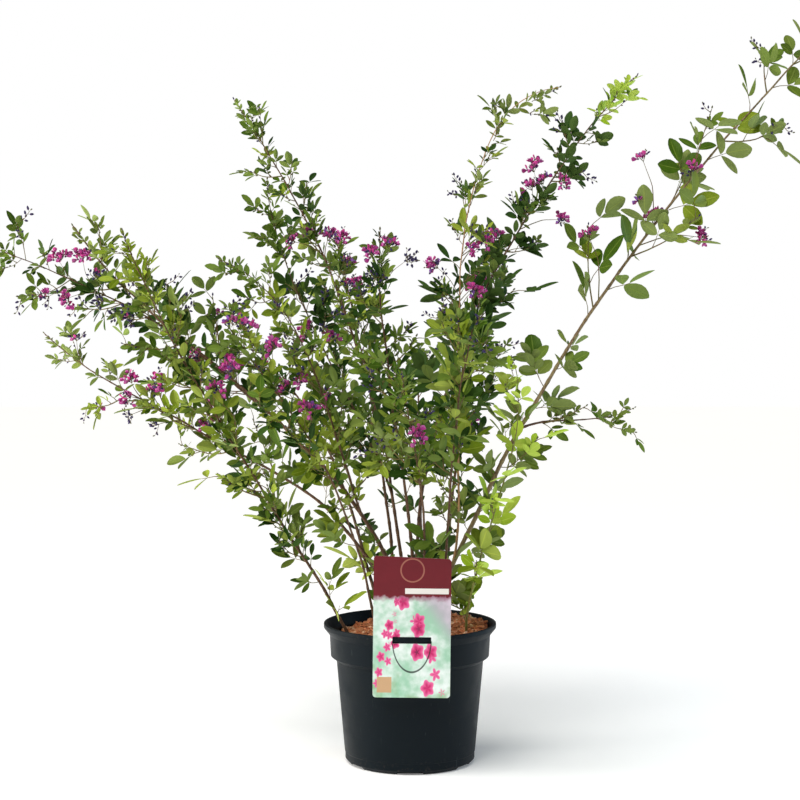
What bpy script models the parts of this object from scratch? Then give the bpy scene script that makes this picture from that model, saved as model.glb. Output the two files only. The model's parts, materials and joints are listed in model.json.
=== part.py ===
"""Potted bush clover: a nursery pot with its soil and hanging label, arching canes and masses of leaf.

Metres, +Z up, the label facing -Y. The origin is the middle of the pot's flat underside.
"""

import math
import random
from bisect import bisect_right
from dataclasses import dataclass
from itertools import combinations

import bmesh
import bpy
import numpy as np
from mathutils import Matrix, Vector, noise
from mathutils.bvhtree import BVHTree
from mathutils.geometry import interpolate_bezier

GAP = 0.0003
WELD = 1e-6
UP = Vector((0, 0, 1))

# Pot: a moulded nursery pot with a lip, a collar above a rounded step, and a tapering wall
POT_HEIGHT = 0.154
LIP_RADIUS = 0.095
LIP_FACE = 0.0046
LIP_DROP = 0.0126
COLLAR_RADIUS = 0.0885
COLLAR_DROP = 0.036
STEP_DROP = 0.0405
WALL_TOP_RADIUS = 0.081
WALL_FOOT_RADIUS = 0.0715
FOOT_RADIUS = 0.067
FOOT_HEIGHT = 0.0045
POT_WALL = 0.0016
POT_FLOOR = 0.0025
LIP_TOP_WIDTH = 0.0033
EDGE_ROUND = 0.0008
COLLAR_TAPER = 0.0012
POT_STEPS = 36
DRAIN_COUNT = 6
DRAIN_SIZE = (0.028, 0.022, 0.0065)
DRAIN_REACH = 0.0065

# Soil: bark and wood fibre that fills the pot to just under its rim, a little higher on one side
SOIL_TOP = 0.137
SOIL_RISE = 0.004
SOIL_LUMP = 0.0018
SOIL_LUMP_SIZE = 0.02
SOIL_RINGS = 3
SOIL_STEPS = 20

# Label: a stiff card whose slot hangs on the pot's lip
CARD_WIDTH = 0.082
CARD_TOP = 0.2405
CARD_BOTTOM = 0.0895
CARD_CORNER = 0.0035
CARD_THICKNESS = 0.0006
CARD_MIDDLE = 0.0015
CARD_FRONT = -0.09405
CARD_SWING = math.radians(0.6)
SLOT_WIDTH = 0.041
SLOT_HEIGHT = 0.0072
SLOT_TOP = POT_HEIGHT + GAP
SLOT_CORNER = 0.0006

# Canes: the tip's radius as a share of the foot's, and a side stem's as a share of its parent's
FOOT_STRAIGHT = 0.004
CANE_POINTS = 5
STEM_STEP = 0.06
TIP_SHARE = 0.28
CHILD_SHARE = 0.62
CAP_STUB = 0.004
FINE_POINTS = 61
SOIL_PROBES = 8
SEAT_STEPS = 16

# Leaves and blossom: each blade stands for one leaf of three leaflets with its stalk.
# Spreads are degrees from the limb, and places are shares of the limb's length.
LEAF_LENGTH = 0.040
LEAF_WIDTH = 0.019
LEAF_THICKNESS = 0.0009
LEAF_WIDEST = 0.57
LEAF_LIFT = 0.12
LEAF_SPREAD = (42, 68)
LEAF_LENGTHS = (0.85, 1.15)
LEAF_TILT = 0.35
LEAF_TWIST = 0.5
LEAF_STEP = 0.037
STEM_LEAVES = (0.04, 0.98)
SHOOT_LEAF_SIZE = 0.95
SHOOT_LEAF_STEP = 0.026
SHOOT_LEAVES = (0.3, 0.95)
SHOOT_RADIUS = 0.0009
SHOOT_SPREAD = (38, 58)
SHOOT_LENGTHS = (0.75, 1.2)
SHOOT_LIFT = 0.25
SHOOT_REACH = 0.2
SHOOT_STRETCH = (0.06, 0.88)
FLOWER_SIZE = (0.012, 0.0095, 0.017)
FLOWER_REACH = 0.35
FLOWER_PLACES = (0.7, 0.95)
FLOWERING_LEAVES_END = 0.6
GOLDEN_ANGLE = math.radians(137.5)
SPACE_MARGIN = 0.0014
LIMB_MARGIN = 0.0012
TURNS = 5
RIM_CLEARANCE = 0.012
LABEL_CLEARANCE = 0.008
AXIS_STEP = 0.006


@dataclass(frozen=True)
class Cane:
    """One cane from its foot to its tip, as a curve with a handle at each end."""

    name: str
    foot: tuple
    rise: tuple
    tip: tuple
    reach: tuple
    radius: float = 0.0022
    bare: float = 0.33
    shoots: int = 6
    shoot_length: float = 0.075
    leaf: float = 1.0
    blossom: tuple = (0.3, 0.8)
    parent: str = ""


# Feet and tips in metres; a rise or a reach is the handle that bends the cane there
CANES = (
    Cane("low_left", (-0.012, 0.020), (-0.040, 0.020, 0.190), (-0.420, 0.120, 0.470),
         (-0.130, 0.040, 0.120), bare=0.34, shoots=6, blossom=(0.45, 0.8)),
    Cane("left_main", (-0.008, -0.008), (-0.008, 0.006, 0.200), (-0.372, 0.030, 0.590),
         (-0.112, 0.015, 0.160), radius=0.0028, bare=0.52, shoots=6, blossom=(0.1, 0.5)),
    Cane("far_left", (-0.155, 0.011), (-0.090, -0.020, 0.094), (-0.470, -0.090, 0.575),
         (-0.110, -0.040, 0.040), bare=0, shoots=6, blossom=(0.35, 0.85), parent="left_main"),
    Cane("outer_left", (-0.064, -0.024), (-0.080, -0.032, 0.160), (-0.290, -0.170, 0.580),
         (-0.046, -0.056, 0.145), radius=0.0018, bare=0.16, shoots=7, shoot_length=0.062,
         blossom=(0.6, 0.8)),
    Cane("inner_left", (-0.034, -0.040), (-0.034, -0.036, 0.184), (-0.190, -0.150, 0.486),
         (-0.096, -0.054, 0.132), radius=0.0016, bare=0.42, shoots=4, blossom=(0.5, 0.9)),
    Cane("tall_left", (-0.002, 0.022), (-0.012, 0.028, 0.215), (-0.204, 0.160, 0.740),
         (-0.133, 0.055, 0.193), bare=0.42, shoots=6, shoot_length=0.06, blossom=(0.1, 0.4)),
    Cane("side_left", (-0.038, 0.030), (-0.036, -0.018, 0.095), (-0.150, -0.060, 0.636),
         (0.001, -0.035, 0.099), bare=0, shoots=5, shoot_length=0.06, blossom=(0.2, 0.7),
         parent="tall_left"),
    Cane("short_left", (-0.050, -0.005), (-0.037, -0.060, 0.098), (-0.187, -0.230, 0.550),
         (-0.090, -0.076, 0.034), bare=0, shoots=5, parent="left_main"),
    Cane("left_back", (-0.030, 0.036), (-0.040, 0.040, 0.180), (-0.200, 0.260, 0.470),
         (-0.080, 0.110, 0.080), bare=0.40, shoots=5),
    Cane("back_left", (-0.014, 0.048), (-0.010, 0.050, 0.190), (-0.090, 0.250, 0.586),
         (-0.035, 0.080, 0.150), bare=0.40, shoots=5, blossom=(0.4, 0.95)),
    Cane("back", (0.012, 0.052), (0.004, 0.070, 0.170), (0.012, 0.285, 0.450),
         (0.002, 0.120, 0.090), bare=0.40, shoots=5),
    Cane("back_right", (0.036, 0.040), (0.014, 0.050, 0.200), (0.112, 0.260, 0.580),
         (0.040, 0.080, 0.140), bare=0.38, shoots=5),
    Cane("mid", (0.002, -0.010), (0.009, -0.022, 0.160), (-0.032, -0.130, 0.582),
         (0.008, -0.050, 0.140), bare=0.42, shoots=5, shoot_length=0.06, blossom=(0.5, 0.9)),
    Cane("front", (0.016, -0.036), (0.004, -0.050, 0.170), (-0.010, -0.260, 0.442),
         (-0.010, -0.110, 0.070), radius=0.0018, bare=0.45, shoots=4),
    Cane("front_right", (0.034, -0.030), (0.006, -0.040, 0.180), (0.066, -0.250, 0.512),
         (0.020, -0.090, 0.100), radius=0.0018, bare=0.42, shoots=5, blossom=(0.6, 0.9)),
    Cane("high_right", (0.010, 0.018), (-0.018, 0.036, 0.229), (0.268, 0.190, 0.773),
         (0.173, 0.066, 0.183), bare=0.38, shoots=7, shoot_length=0.06, leaf=1.05,
         blossom=(0.35, 0.8)),
    Cane("long_right", (0.018, -0.010), (0.085, 0.006, 0.245), (0.490, 0.020, 0.832),
         (0.200, 0.011, 0.174), radius=0.0028, bare=0.42, shoots=7, shoot_length=0.085, leaf=1.3,
         blossom=(0.35, 0.8)),
    Cane("upright", (0.046, -0.006), (0.019, -0.008, 0.110), (0.154, -0.080, 0.731),
         (0.148, -0.015, 0.010), bare=0, shoots=7, shoot_length=0.055, blossom=(0.45, 0.7),
         parent="long_right"),
    Cane("side_right", (0.120, 0.004), (0.034, 0.020, 0.012), (0.257, 0.092, 0.386),
         (0.049, 0.038, 0.020), bare=0, shoots=2, shoot_length=0.05, leaf=0.7, blossom=(0, 0),
         parent="long_right"),
    Cane("right_low", (0.060, -0.036), (0.002, -0.020, 0.090), (0.099, -0.190, 0.452),
         (-0.038, -0.038, 0.055), radius=0.0014, bare=0.10, shoots=4, shoot_length=0.05,
         blossom=(0, 0)),
)


class Path:
    """A tapering limb's axis: its points, with the limb's radius at each."""

    def __init__(self, points, radii):
        self.points = points
        self.radii = radii
        self.lengths = [0.0]
        for before, after in zip(points, points[1:]):
            self.lengths.append(self.lengths[-1] + (after - before).length)

    @property
    def length(self):
        return self.lengths[-1]

    def at(self, share):
        """The point, direction and radius at a share of the length."""
        goal = share * self.length
        index = min(bisect_right(self.lengths, goal), len(self.points) - 1) - 1
        start, end = self.points[index], self.points[index + 1]
        part = (goal - self.lengths[index]) / (end - start).length
        radius = self.radii[index] + (self.radii[index + 1] - self.radii[index]) * part
        return start.lerp(end, part), (end - start).normalized(), radius


def remove_everything():
    for obj in list(bpy.data.objects):
        bpy.data.objects.remove(obj, do_unlink=True)


def new_collection(name):
    collection = bpy.data.collections.new(name)
    bpy.context.scene.collection.children.link(collection)
    return collection


def material(name, colour, roughness):
    made = bpy.data.materials.new(name)
    made.use_nodes = True
    shader = made.node_tree.nodes["Principled BSDF"]
    shader.inputs["Base Color"].default_value = (*colour, 1)
    shader.inputs["Roughness"].default_value = roughness
    shader.inputs["Metallic"].default_value = 0.0
    made.diffuse_color = (*colour, 1)
    return made


def add_object(name, data, finish, collection):
    obj = bpy.data.objects.new(name, data)
    obj.data.materials.append(finish)
    collection.objects.link(obj)
    return obj


def mesh_from(bm, name):
    mesh = bpy.data.meshes.new(name)
    bm.normal_update()
    bmesh.ops.recalc_face_normals(bm, faces=bm.faces)
    bm.to_mesh(mesh)
    bm.free()
    return mesh


def smooth(mesh, sharp_from=math.radians(35)):
    mesh.shade_smooth()
    mesh.set_sharp_from_angle(angle=sharp_from)


def evaluated_mesh(obj):
    """The object's mesh with its modifiers or bevel applied, its caps welded and its faces outward."""
    graph = bpy.context.evaluated_depsgraph_get()
    mesh = bpy.data.meshes.new_from_object(obj.evaluated_get(graph), depsgraph=graph)
    bm = bmesh.new()
    bm.from_mesh(mesh)
    bmesh.ops.remove_doubles(bm, verts=bm.verts, dist=WELD)
    bmesh.ops.recalc_face_normals(bm, faces=bm.faces)
    bm.to_mesh(mesh)
    bm.free()
    return mesh


def pot_profile():
    """Half of the pot's section, from the middle of its inner floor up, over the lip and down."""
    inner_collar = COLLAR_RADIUS - POT_WALL
    return (
        (0, POT_FLOOR),
        (FOOT_RADIUS - POT_WALL, POT_FLOOR),
        (WALL_FOOT_RADIUS - POT_WALL, FOOT_HEIGHT + POT_FLOOR),
        (WALL_TOP_RADIUS - POT_WALL, POT_HEIGHT - STEP_DROP + POT_WALL),
        (inner_collar - COLLAR_TAPER, POT_HEIGHT - COLLAR_DROP + POT_WALL),
        (inner_collar, POT_HEIGHT - LIP_DROP),
        (LIP_RADIUS - LIP_TOP_WIDTH - EDGE_ROUND, POT_HEIGHT - EDGE_ROUND),
        (LIP_RADIUS - LIP_TOP_WIDTH, POT_HEIGHT),
        (LIP_RADIUS - EDGE_ROUND, POT_HEIGHT),
        (LIP_RADIUS, POT_HEIGHT - EDGE_ROUND),
        (LIP_RADIUS, POT_HEIGHT - LIP_FACE),
        (COLLAR_RADIUS, POT_HEIGHT - LIP_DROP),
        (COLLAR_RADIUS - COLLAR_TAPER, POT_HEIGHT - COLLAR_DROP),
        (WALL_TOP_RADIUS, POT_HEIGHT - STEP_DROP),
        (WALL_FOOT_RADIUS, FOOT_HEIGHT),
        (FOOT_RADIUS, 0),
        (0, 0),
    )


def turned(name, profile, steps, finish, collection):
    """A closed turned solid from a profile that runs down its outer side."""
    mesh = bpy.data.meshes.new(name)
    edges = [(i, i + 1) for i in range(len(profile) - 1)]
    mesh.from_pydata([(radius, 0, height) for radius, height in profile], edges, [])
    obj = add_object(name, mesh, finish, collection)
    screw = obj.modifiers.new("Screw", "SCREW")
    screw.steps = screw.render_steps = steps
    screw.use_merge_vertices = True
    screw.merge_threshold = WELD
    screw.use_smooth_shade = True
    return obj


def build_pot(collection, cutters):
    """The turned pot with a ring of drain slots cut into the edge of its foot."""
    pot = turned("pot", pot_profile(), POT_STEPS,
                 material("black_pot_plastic", (0.014, 0.019, 0.019), 0.5), collection)
    width, depth, height = DRAIN_SIZE
    for index in range(DRAIN_COUNT):
        turn = Matrix.Rotation(math.tau * index / DRAIN_COUNT, 4, "Z")
        bm = bmesh.new()
        bmesh.ops.create_cube(bm, size=1, matrix=Matrix.Diagonal((width, depth, height, 1)))
        cutter = bpy.data.objects.new(f"drain_cutter_{index + 1}", mesh_from(bm, "drain_cutter"))
        cutters.objects.link(cutter)
        cutter.matrix_world = turn @ Matrix.Translation((0, DRAIN_REACH - FOOT_RADIUS - depth / 2, 0))
        cutter.hide_render = True
        cutter.display_type = "WIRE"
    cut = pot.modifiers.new("Drain slots", "BOOLEAN")
    cut.operation = "DIFFERENCE"
    cut.operand_type = "COLLECTION"
    cut.collection = cutters


def pot_inner_radius(height):
    """The radius of the pot's inner wall at a height."""
    inner = pot_profile()[1:6]
    for (low_radius, low), (high_radius, high) in zip(inner, inner[1:]):
        if low <= height <= high:
            return low_radius + (high_radius - low_radius) * (height - low) / (high - low)
    return inner[-1][0]


def build_soil(collection):
    """A plug that fills the pot a hair clear of its wall, with a lumpy top."""
    top_radius = pot_inner_radius(SOIL_TOP) - 2 * GAP
    inner = pot_profile()[1:5]
    profile = [(0, SOIL_TOP)]
    profile += [(top_radius * ring / SOIL_RINGS, SOIL_TOP) for ring in range(1, SOIL_RINGS + 1)]
    profile += [(radius - 2 * GAP, height + GAP) for radius, height in reversed(inner)]
    profile += [(0, POT_FLOOR + GAP)]
    bm = bmesh.new()
    verts = [bm.verts.new((radius, 0, height)) for radius, height in profile]
    edges = [bm.edges.new(pair) for pair in zip(verts, verts[1:])]
    bmesh.ops.spin(bm, geom=verts + edges, cent=(0, 0, 0), axis=(0, 0, 1), angle=math.tau,
                   steps=SOIL_STEPS, use_merge=True)
    bmesh.ops.remove_doubles(bm, verts=bm.verts, dist=WELD)
    for vert in bm.verts:
        if vert.co.z > SOIL_TOP - WELD:
            lump = noise.noise(vert.co / SOIL_LUMP_SIZE)
            vert.co.z += SOIL_RISE * vert.co.x / top_radius + SOIL_LUMP * lump
    mesh = mesh_from(bm, "soil")
    smooth(mesh)
    return add_object("soil", mesh, material("bark_soil", (0.32, 0.10, 0.045), 0.95), collection)


def rounded_rectangle(width, height, radius, middle=(0, 0), arc_steps=4):
    """Points round a rectangle whose corners are arcs."""
    points = []
    corners = ((1, 1, 0), (-1, 1, 1), (-1, -1, 2), (1, -1, 3))
    for side, end, quarter in corners:
        centre = Vector((side * (width / 2 - radius), end * (height / 2 - radius)))
        for step in range(arc_steps + 1):
            angle = (quarter + step / arc_steps) * math.pi / 2
            spot = centre + Vector((math.cos(angle), math.sin(angle))) * radius + Vector(middle)
            points.append((spot.x, spot.y, 0))
    return points


def build_label(collection):
    """The card as a flat outline with a second outline for its slot, stood up on the pot's lip."""
    height = CARD_TOP - CARD_BOTTOM
    slot_middle = SLOT_TOP - SLOT_HEIGHT / 2
    card_middle = (CARD_TOP + CARD_BOTTOM) / 2 - slot_middle
    outlines = (
        rounded_rectangle(CARD_WIDTH, height, CARD_CORNER, (0, card_middle)),
        rounded_rectangle(SLOT_WIDTH, SLOT_HEIGHT, SLOT_CORNER, arc_steps=1),
    )
    curve = bpy.data.curves.new("label_card", "CURVE")
    curve.dimensions = "2D"
    curve.fill_mode = "BOTH"
    curve.extrude = CARD_THICKNESS / 2
    for outline in outlines:
        spline = curve.splines.new("POLY")
        spline.points.add(len(outline) - 1)
        for point, place in zip(spline.points, outline):
            point.co = (*place, 1)
        spline.use_cyclic_u = True
    label = add_object("label_card", curve, material("label_card", (0.66, 0.80, 0.72), 0.35),
                       collection)
    label.location = (CARD_MIDDLE, CARD_FRONT + CARD_THICKNESS / 2, slot_middle)
    label.rotation_euler = (math.pi / 2, CARD_SWING, 0)


def limb_profile(name, sides, guides):
    """A polygon of unit radius that a limb's axis carries along itself."""
    curve = bpy.data.curves.new(name, "CURVE")
    spline = curve.splines.new("POLY")
    spline.points.add(sides - 1)
    for index, point in enumerate(spline.points):
        angle = math.tau * index / sides
        point.co = (math.cos(angle), math.sin(angle), 0, 1)
    spline.use_cyclic_u = True
    profile = bpy.data.objects.new(name, curve)
    profile.hide_render = True
    profile.display_type = "WIRE"
    guides.objects.link(profile)
    return profile


def limb_object(name, path, profile, finish, collection):
    """A tapering tube with flat ends along the path, as a mesh."""
    curve = bpy.data.curves.new(name, "CURVE")
    curve.dimensions = "3D"
    curve.bevel_mode = "OBJECT"
    curve.bevel_object = profile
    curve.use_fill_caps = True
    spline = curve.splines.new("POLY")
    spline.points.add(len(path.points) - 1)
    for point, place, radius in zip(spline.points, path.points, path.radii):
        point.co = (*place, 1)
        point.radius = radius
    guide = bpy.data.objects.new(name + "_axis", curve)
    collection.objects.link(guide)
    mesh = evaluated_mesh(guide)
    bpy.data.objects.remove(guide)
    bpy.data.curves.remove(curve)
    mesh.name = name
    mesh.materials.clear()
    return add_object(name, mesh, finish, collection)


def curve_points(foot, cane):
    """The cane's axis from its foot to its tip, as closely spaced points."""
    tip = Vector(cane.tip)
    return interpolate_bezier(foot, foot + Vector(cane.rise), tip - Vector(cane.reach), tip, FINE_POINTS)


def stretch(points, start, end, count):
    """Evenly spaced points along a fine curve, from one share of its length to another."""
    path = Path(points, [0] * len(points))
    return [path.at(start + (end - start) * i / count)[0] for i in range(count + 1)]


def tapered(points, radius, start, end):
    """The limb along these points, where they are the stretch of a cane between two shares of it."""
    path = Path(points, [radius] * len(points))
    shares = [start + (end - start) * length / path.length for length in path.lengths]
    path.radii = [radius * (1 - (1 - TIP_SHARE) * share) for share in shares]
    return path


def foot_on_soil(cane, soil_tree):
    """The middle of the cane's flat foot, a hair above the highest soil under it."""
    tops = []
    for probe in range(SOIL_PROBES):
        angle = math.tau * probe / SOIL_PROBES
        beside = Vector((math.cos(angle), math.sin(angle), 0)) * 2 * cane.radius
        tops.append(soil_tree.ray_cast(Vector((*cane.foot, POT_HEIGHT)) + beside, -UP)[0].z)
    return Vector((*cane.foot, max(tops) + GAP))


def bough_path(cane, foot):
    """The cane's bare part: straight up out of the soil, then along its curve to its first leaves."""
    fine = curve_points(foot + UP * FOOT_STRAIGHT, cane)
    points = stretch(fine, 0, cane.bare, CANE_POINTS)
    end = points[-1]
    ahead = (end - points[-2]).normalized()
    points = [foot] + points[:-1] + [end - ahead * CAP_STUB, end]
    return tapered(points, cane.radius, 0, cane.bare), fine, ahead


def leafy_path(cane, fine, start, ahead, radius):
    """The stem inside a mass: it starts a hair past the limb's end and grows on to the cane's tip."""
    first = start + ahead * GAP
    length = Path(fine, [0] * len(fine)).length * (1 - cane.bare)
    rest = stretch(fine, cane.bare, 1, max(3, round(length / STEM_STEP)))[1:]
    return tapered([first, first + ahead * CAP_STUB] + rest, radius, cane.bare, 1)


def child_start(parent, cane):
    """Where a side stem leaves its parent's bark, a hair clear of it, and in which direction."""
    spots = [parent.at(i / FINE_POINTS) for i in range(1, FINE_POINTS)]
    point, along, radius = min(spots, key=lambda spot: (spot[0].xy - Vector(cane.foot)).length)
    direction = Vector(cane.rise).normalized()
    away = (direction - along * direction.dot(along)).normalized()
    slope = direction.dot(away)
    clear = radius + cane.radius * CHILD_SHARE * math.sqrt(1 - slope * slope) + 2 * GAP
    return point + direction * (clear / slope), direction


def seat_on_bark(stem, path, parent):
    """Slides a side stem's first end back along itself until it lies a hair off its parent's bark."""
    bark_tree = BVHTree.FromObject(parent, bpy.context.evaluated_depsgraph_get())
    first, second = path.points[:2]
    ahead = (second - first).normalized()
    end = [vert for vert in stem.data.vertices if (vert.co - first).length < path.radii[0] * 1.01]
    spots = [vert.co.copy() for vert in end]
    spots += [a.lerp(b, 0.5) for a, b in combinations(spots, 2)] + [first]
    slide = 0.0
    for _ in range(SEAT_STEPS):
        slide += min(bark_tree.find_nearest(spot - ahead * slide)[3] for spot in spots) - GAP
    for vert in end:
        vert.co -= ahead * slide
    return Path([first - ahead * slide] + path.points[1:], path.radii)


class Spaces:
    """Who owns each place in the crown: the limb whose axis lies nearest."""

    def __init__(self):
        self.names = []
        self.places = np.empty((0, 3))
        self.radii = np.empty(0)
        self.owners = np.empty(0, int)

    def add(self, name, path):
        count = max(2, math.ceil(path.length / AXIS_STEP))
        rows = [path.at(i / count) for i in range(count + 1)]
        self.places = np.vstack([self.places, [point for point, _, _ in rows]])
        self.radii = np.append(self.radii, [radius for _, _, radius in rows])
        self.owners = np.append(self.owners, [len(self.names)] * len(rows))
        self.names.append(name)

    def free(self, name, points):
        """Whether all of the points lie nearer this mass's stem than any other limb, with room."""
        if any(point.z < POT_HEIGHT + RIM_CLEARANCE or blocked_by_label(point) for point in points):
            return False
        mine = self.owners == self.names.index(name)
        away = np.linalg.norm(np.array(points)[:, None] - self.places, axis=2)
        own = away[:, mine].min(axis=1)
        others = (away - self.radii)[:, ~mine].min(axis=1)
        return bool((others > own + SPACE_MARGIN + LIMB_MARGIN).all())


def blocked_by_label(point):
    """Whether a point is within a clearance of the hanging card."""
    return (abs(point.x - CARD_MIDDLE) < CARD_WIDTH / 2 + LABEL_CLEARANCE
            and abs(point.y - CARD_FRONT) < LABEL_CLEARANCE
            and point.z < CARD_TOP + LABEL_CLEARANCE)


def blade_mesh(name, width, thickness, length, widest=0.5):
    """An eight-faced blade or bud that starts at the origin and reaches along +Y, flat across X."""
    bm = bmesh.new()
    bmesh.ops.create_uvsphere(bm, u_segments=4, v_segments=2, radius=0.5)
    for vert in bm.verts:
        along = vert.co.z + 0.5
        if abs(vert.co.z) < 0.25:
            along = widest
        vert.co = Vector((vert.co.x * width, along * length, vert.co.y * thickness))
    return mesh_from(bm, name)


def placed(root, along, lift):
    """A matrix that lays +Y along a direction, with +Z as near as it can be to the lift."""
    forward = along.normalized()
    across = forward.cross(lift).normalized()
    normal = across.cross(forward)
    frame = Matrix((across, forward, normal)).transposed().to_4x4()
    return Matrix.Translation(root) @ frame


def around(direction, angle):
    """A unit vector square to a direction, turned round it by an angle from the upper side."""
    level = direction.cross(UP)
    level = level.normalized() if level.length > 1e-3 else Vector((1, 0, 0))
    upper = level.cross(direction).normalized()
    return level * math.sin(angle) + upper * math.cos(angle)


class Mass:
    """One mass of leaf: a stem, side shoots, leaves and some blossom, all inside its own space."""

    def __init__(self, cane, path, spaces, finishes, profile, pieces):
        self.cane = cane
        self.path = path
        self.spaces = spaces
        self.finishes = finishes
        self.profile = profile
        self.pieces = pieces
        self.random = random.Random(cane.name)

    def turned_free(self, shape_at, angle):
        """The first of a few turns round the limb whose shape keeps to this mass's space."""
        for turn in range(TURNS):
            made = shape_at(angle + turn * math.tau / TURNS)
            if self.spaces.free(self.cane.name, made[1]):
                return made[0]
        return None

    def leaf(self, limb, share, angle, size):
        """A blade whose root is sunk in the limb, or nothing where it has no room."""
        point, ahead, _ = limb.at(share)
        spread = math.radians(self.random.uniform(*LEAF_SPREAD))
        length = LEAF_LENGTH * size * self.random.uniform(*LEAF_LENGTHS)
        tilt = self.random.uniform(-LEAF_TILT, LEAF_TILT)

        def shape(turned):
            out = around(ahead, turned)
            along = ahead * math.cos(spread) + out * math.sin(spread) + UP * LEAF_LIFT
            frame = placed(point, along, UP + ahead * 0.5 + out.cross(ahead) * tilt)
            width = LEAF_WIDTH * size / 2
            outline = ((0, 0.3), (0, 1), (-width, LEAF_WIDEST), (width, LEAF_WIDEST),
                       (-width * 0.6, 0.8), (width * 0.6, 0.8), (-width * 0.5, 0.3),
                       (width * 0.5, 0.3))
            return frame, [frame @ Vector((x, y * length, 0)) for x, y in outline]

        frame = self.turned_free(shape, angle)
        if frame is None:
            return
        mesh = blade_mesh("leaf", LEAF_WIDTH * size, LEAF_THICKNESS, length, LEAF_WIDEST)
        mesh.transform(frame)
        add_object("leaf", mesh, self.finishes["leaf"], self.pieces)

    def shoot(self, share, angle, length, spread):
        """A three-sided side shoot of two stretches, or None where it has no room."""
        point, ahead, radius = self.path.at(share)

        def shape(turned):
            out = around(ahead, turned)
            first = (ahead * math.cos(spread) + out * math.sin(spread)).normalized()
            second = (first + UP * SHOOT_LIFT + ahead * SHOOT_REACH).normalized()
            middle = point + first * length / 2
            end = middle + second * length / 2
            return [point, middle, end], [point.lerp(middle, 0.5), middle,
                                          middle.lerp(end, 0.5), end]

        points = self.turned_free(shape, angle)
        if points is None:
            return None
        start = min(SHOOT_RADIUS, radius * 0.8)
        path = Path(points, [start, start * 0.75, start * 0.45])
        limb_object("shoot", path, self.profile, self.finishes["stem"], self.pieces)
        return path

    def flower(self, limb, share, angle):
        """One solid for a small cluster of blossom that hangs out from its shoot."""
        point, ahead, _ = limb.at(share)
        width, thickness, length = FLOWER_SIZE

        def shape(turned):
            frame = placed(point, around(ahead, turned) + ahead * FLOWER_REACH, UP)
            outline = ((0, 0.6), (0, 1), (-width / 2, 0.5), (width / 2, 0.5))
            return frame, [frame @ Vector((x, y * length, 0)) for x, y in outline]

        frame = self.turned_free(shape, angle)
        if frame is None:
            return
        mesh = blade_mesh("flower", width, thickness, length)
        mesh.transform(frame)
        add_object("flower", mesh, self.finishes["blossom"], self.pieces)

    def grow_shoot(self, share, angle):
        """A side shoot with its leaves, and with blossom at its end on the flowering stretch."""
        cane, pick = self.cane, self.random
        length = cane.shoot_length * (1.15 - 0.6 * share) * pick.uniform(*SHOOT_LENGTHS)
        shoot = self.shoot(share, angle, length, math.radians(pick.uniform(*SHOOT_SPREAD)))
        if shoot is None:
            return
        flowering = cane.blossom[0] <= share <= cane.blossom[1]
        first, last = SHOOT_LEAVES
        if flowering:
            last = FLOWERING_LEAVES_END
        count = max(2, round(last * length / SHOOT_LEAF_STEP))
        for leaf in range(count):
            place = first + (last - first) * leaf / (count - 1)
            side = leaf * math.pi + pick.uniform(-LEAF_TWIST, LEAF_TWIST)
            self.leaf(shoot, place, side, cane.leaf * SHOOT_LEAF_SIZE)
        if flowering:
            for place in FLOWER_PLACES:
                self.flower(shoot, place, angle + place * math.tau)

    def grow(self):
        """All of the mass's pieces but its stem."""
        cane, pick = self.cane, self.random
        for index in range(cane.shoots):
            first, last = SHOOT_STRETCH
            share = first + (last - first) * (index + pick.uniform(0.2, 0.8)) / cane.shoots
            self.grow_shoot(share, index * GOLDEN_ANGLE)
        count = round(self.path.length / LEAF_STEP)
        for index in range(count):
            first, last = STEM_LEAVES
            share = first + (last - first) * (index + 0.5) / count
            size = cane.leaf * min(1.1, 1.775 - 1.125 * share)
            side = index * GOLDEN_ANGLE + pick.uniform(-LEAF_TWIST, LEAF_TWIST)
            self.leaf(self.path, share, side, size)


def keep_main_shell(mesh):
    """Fills sealed hollows and drops loose scraps, by keeping only the shell with the most faces."""
    bm = bmesh.new()
    bm.from_mesh(mesh)
    shells, waiting = [], set(bm.faces)
    while waiting:
        shell, edge = set(), [waiting.pop()]
        while edge:
            face = edge.pop()
            shell.add(face)
            fresh = {near for side in face.edges for near in side.link_faces} & waiting
            waiting -= fresh
            edge += fresh
        shells.append(shell)
    shells.sort(key=len)
    for shell in shells[:-1]:
        bmesh.ops.delete(bm, geom=list(shell), context="FACES")
    bm.to_mesh(mesh)
    bm.free()


def join_pieces(obj, pieces):
    """One union of the stem with all of its pieces, applied, after which the pieces are removed."""
    join = obj.modifiers.new("Join", "BOOLEAN")
    join.operation = "UNION"
    join.operand_type = "COLLECTION"
    join.collection = pieces
    join.solver = "MANIFOLD"
    join.material_mode = "TRANSFER"
    bpy.context.view_layer.update()
    graph = bpy.context.evaluated_depsgraph_get()
    mesh = bpy.data.meshes.new_from_object(obj.evaluated_get(graph), depsgraph=graph)
    obj.modifiers.clear()
    keep_main_shell(mesh)
    mesh.name = obj.name
    obj.data = mesh
    for piece in list(pieces.objects):
        bpy.data.objects.remove(piece, do_unlink=True)


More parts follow.
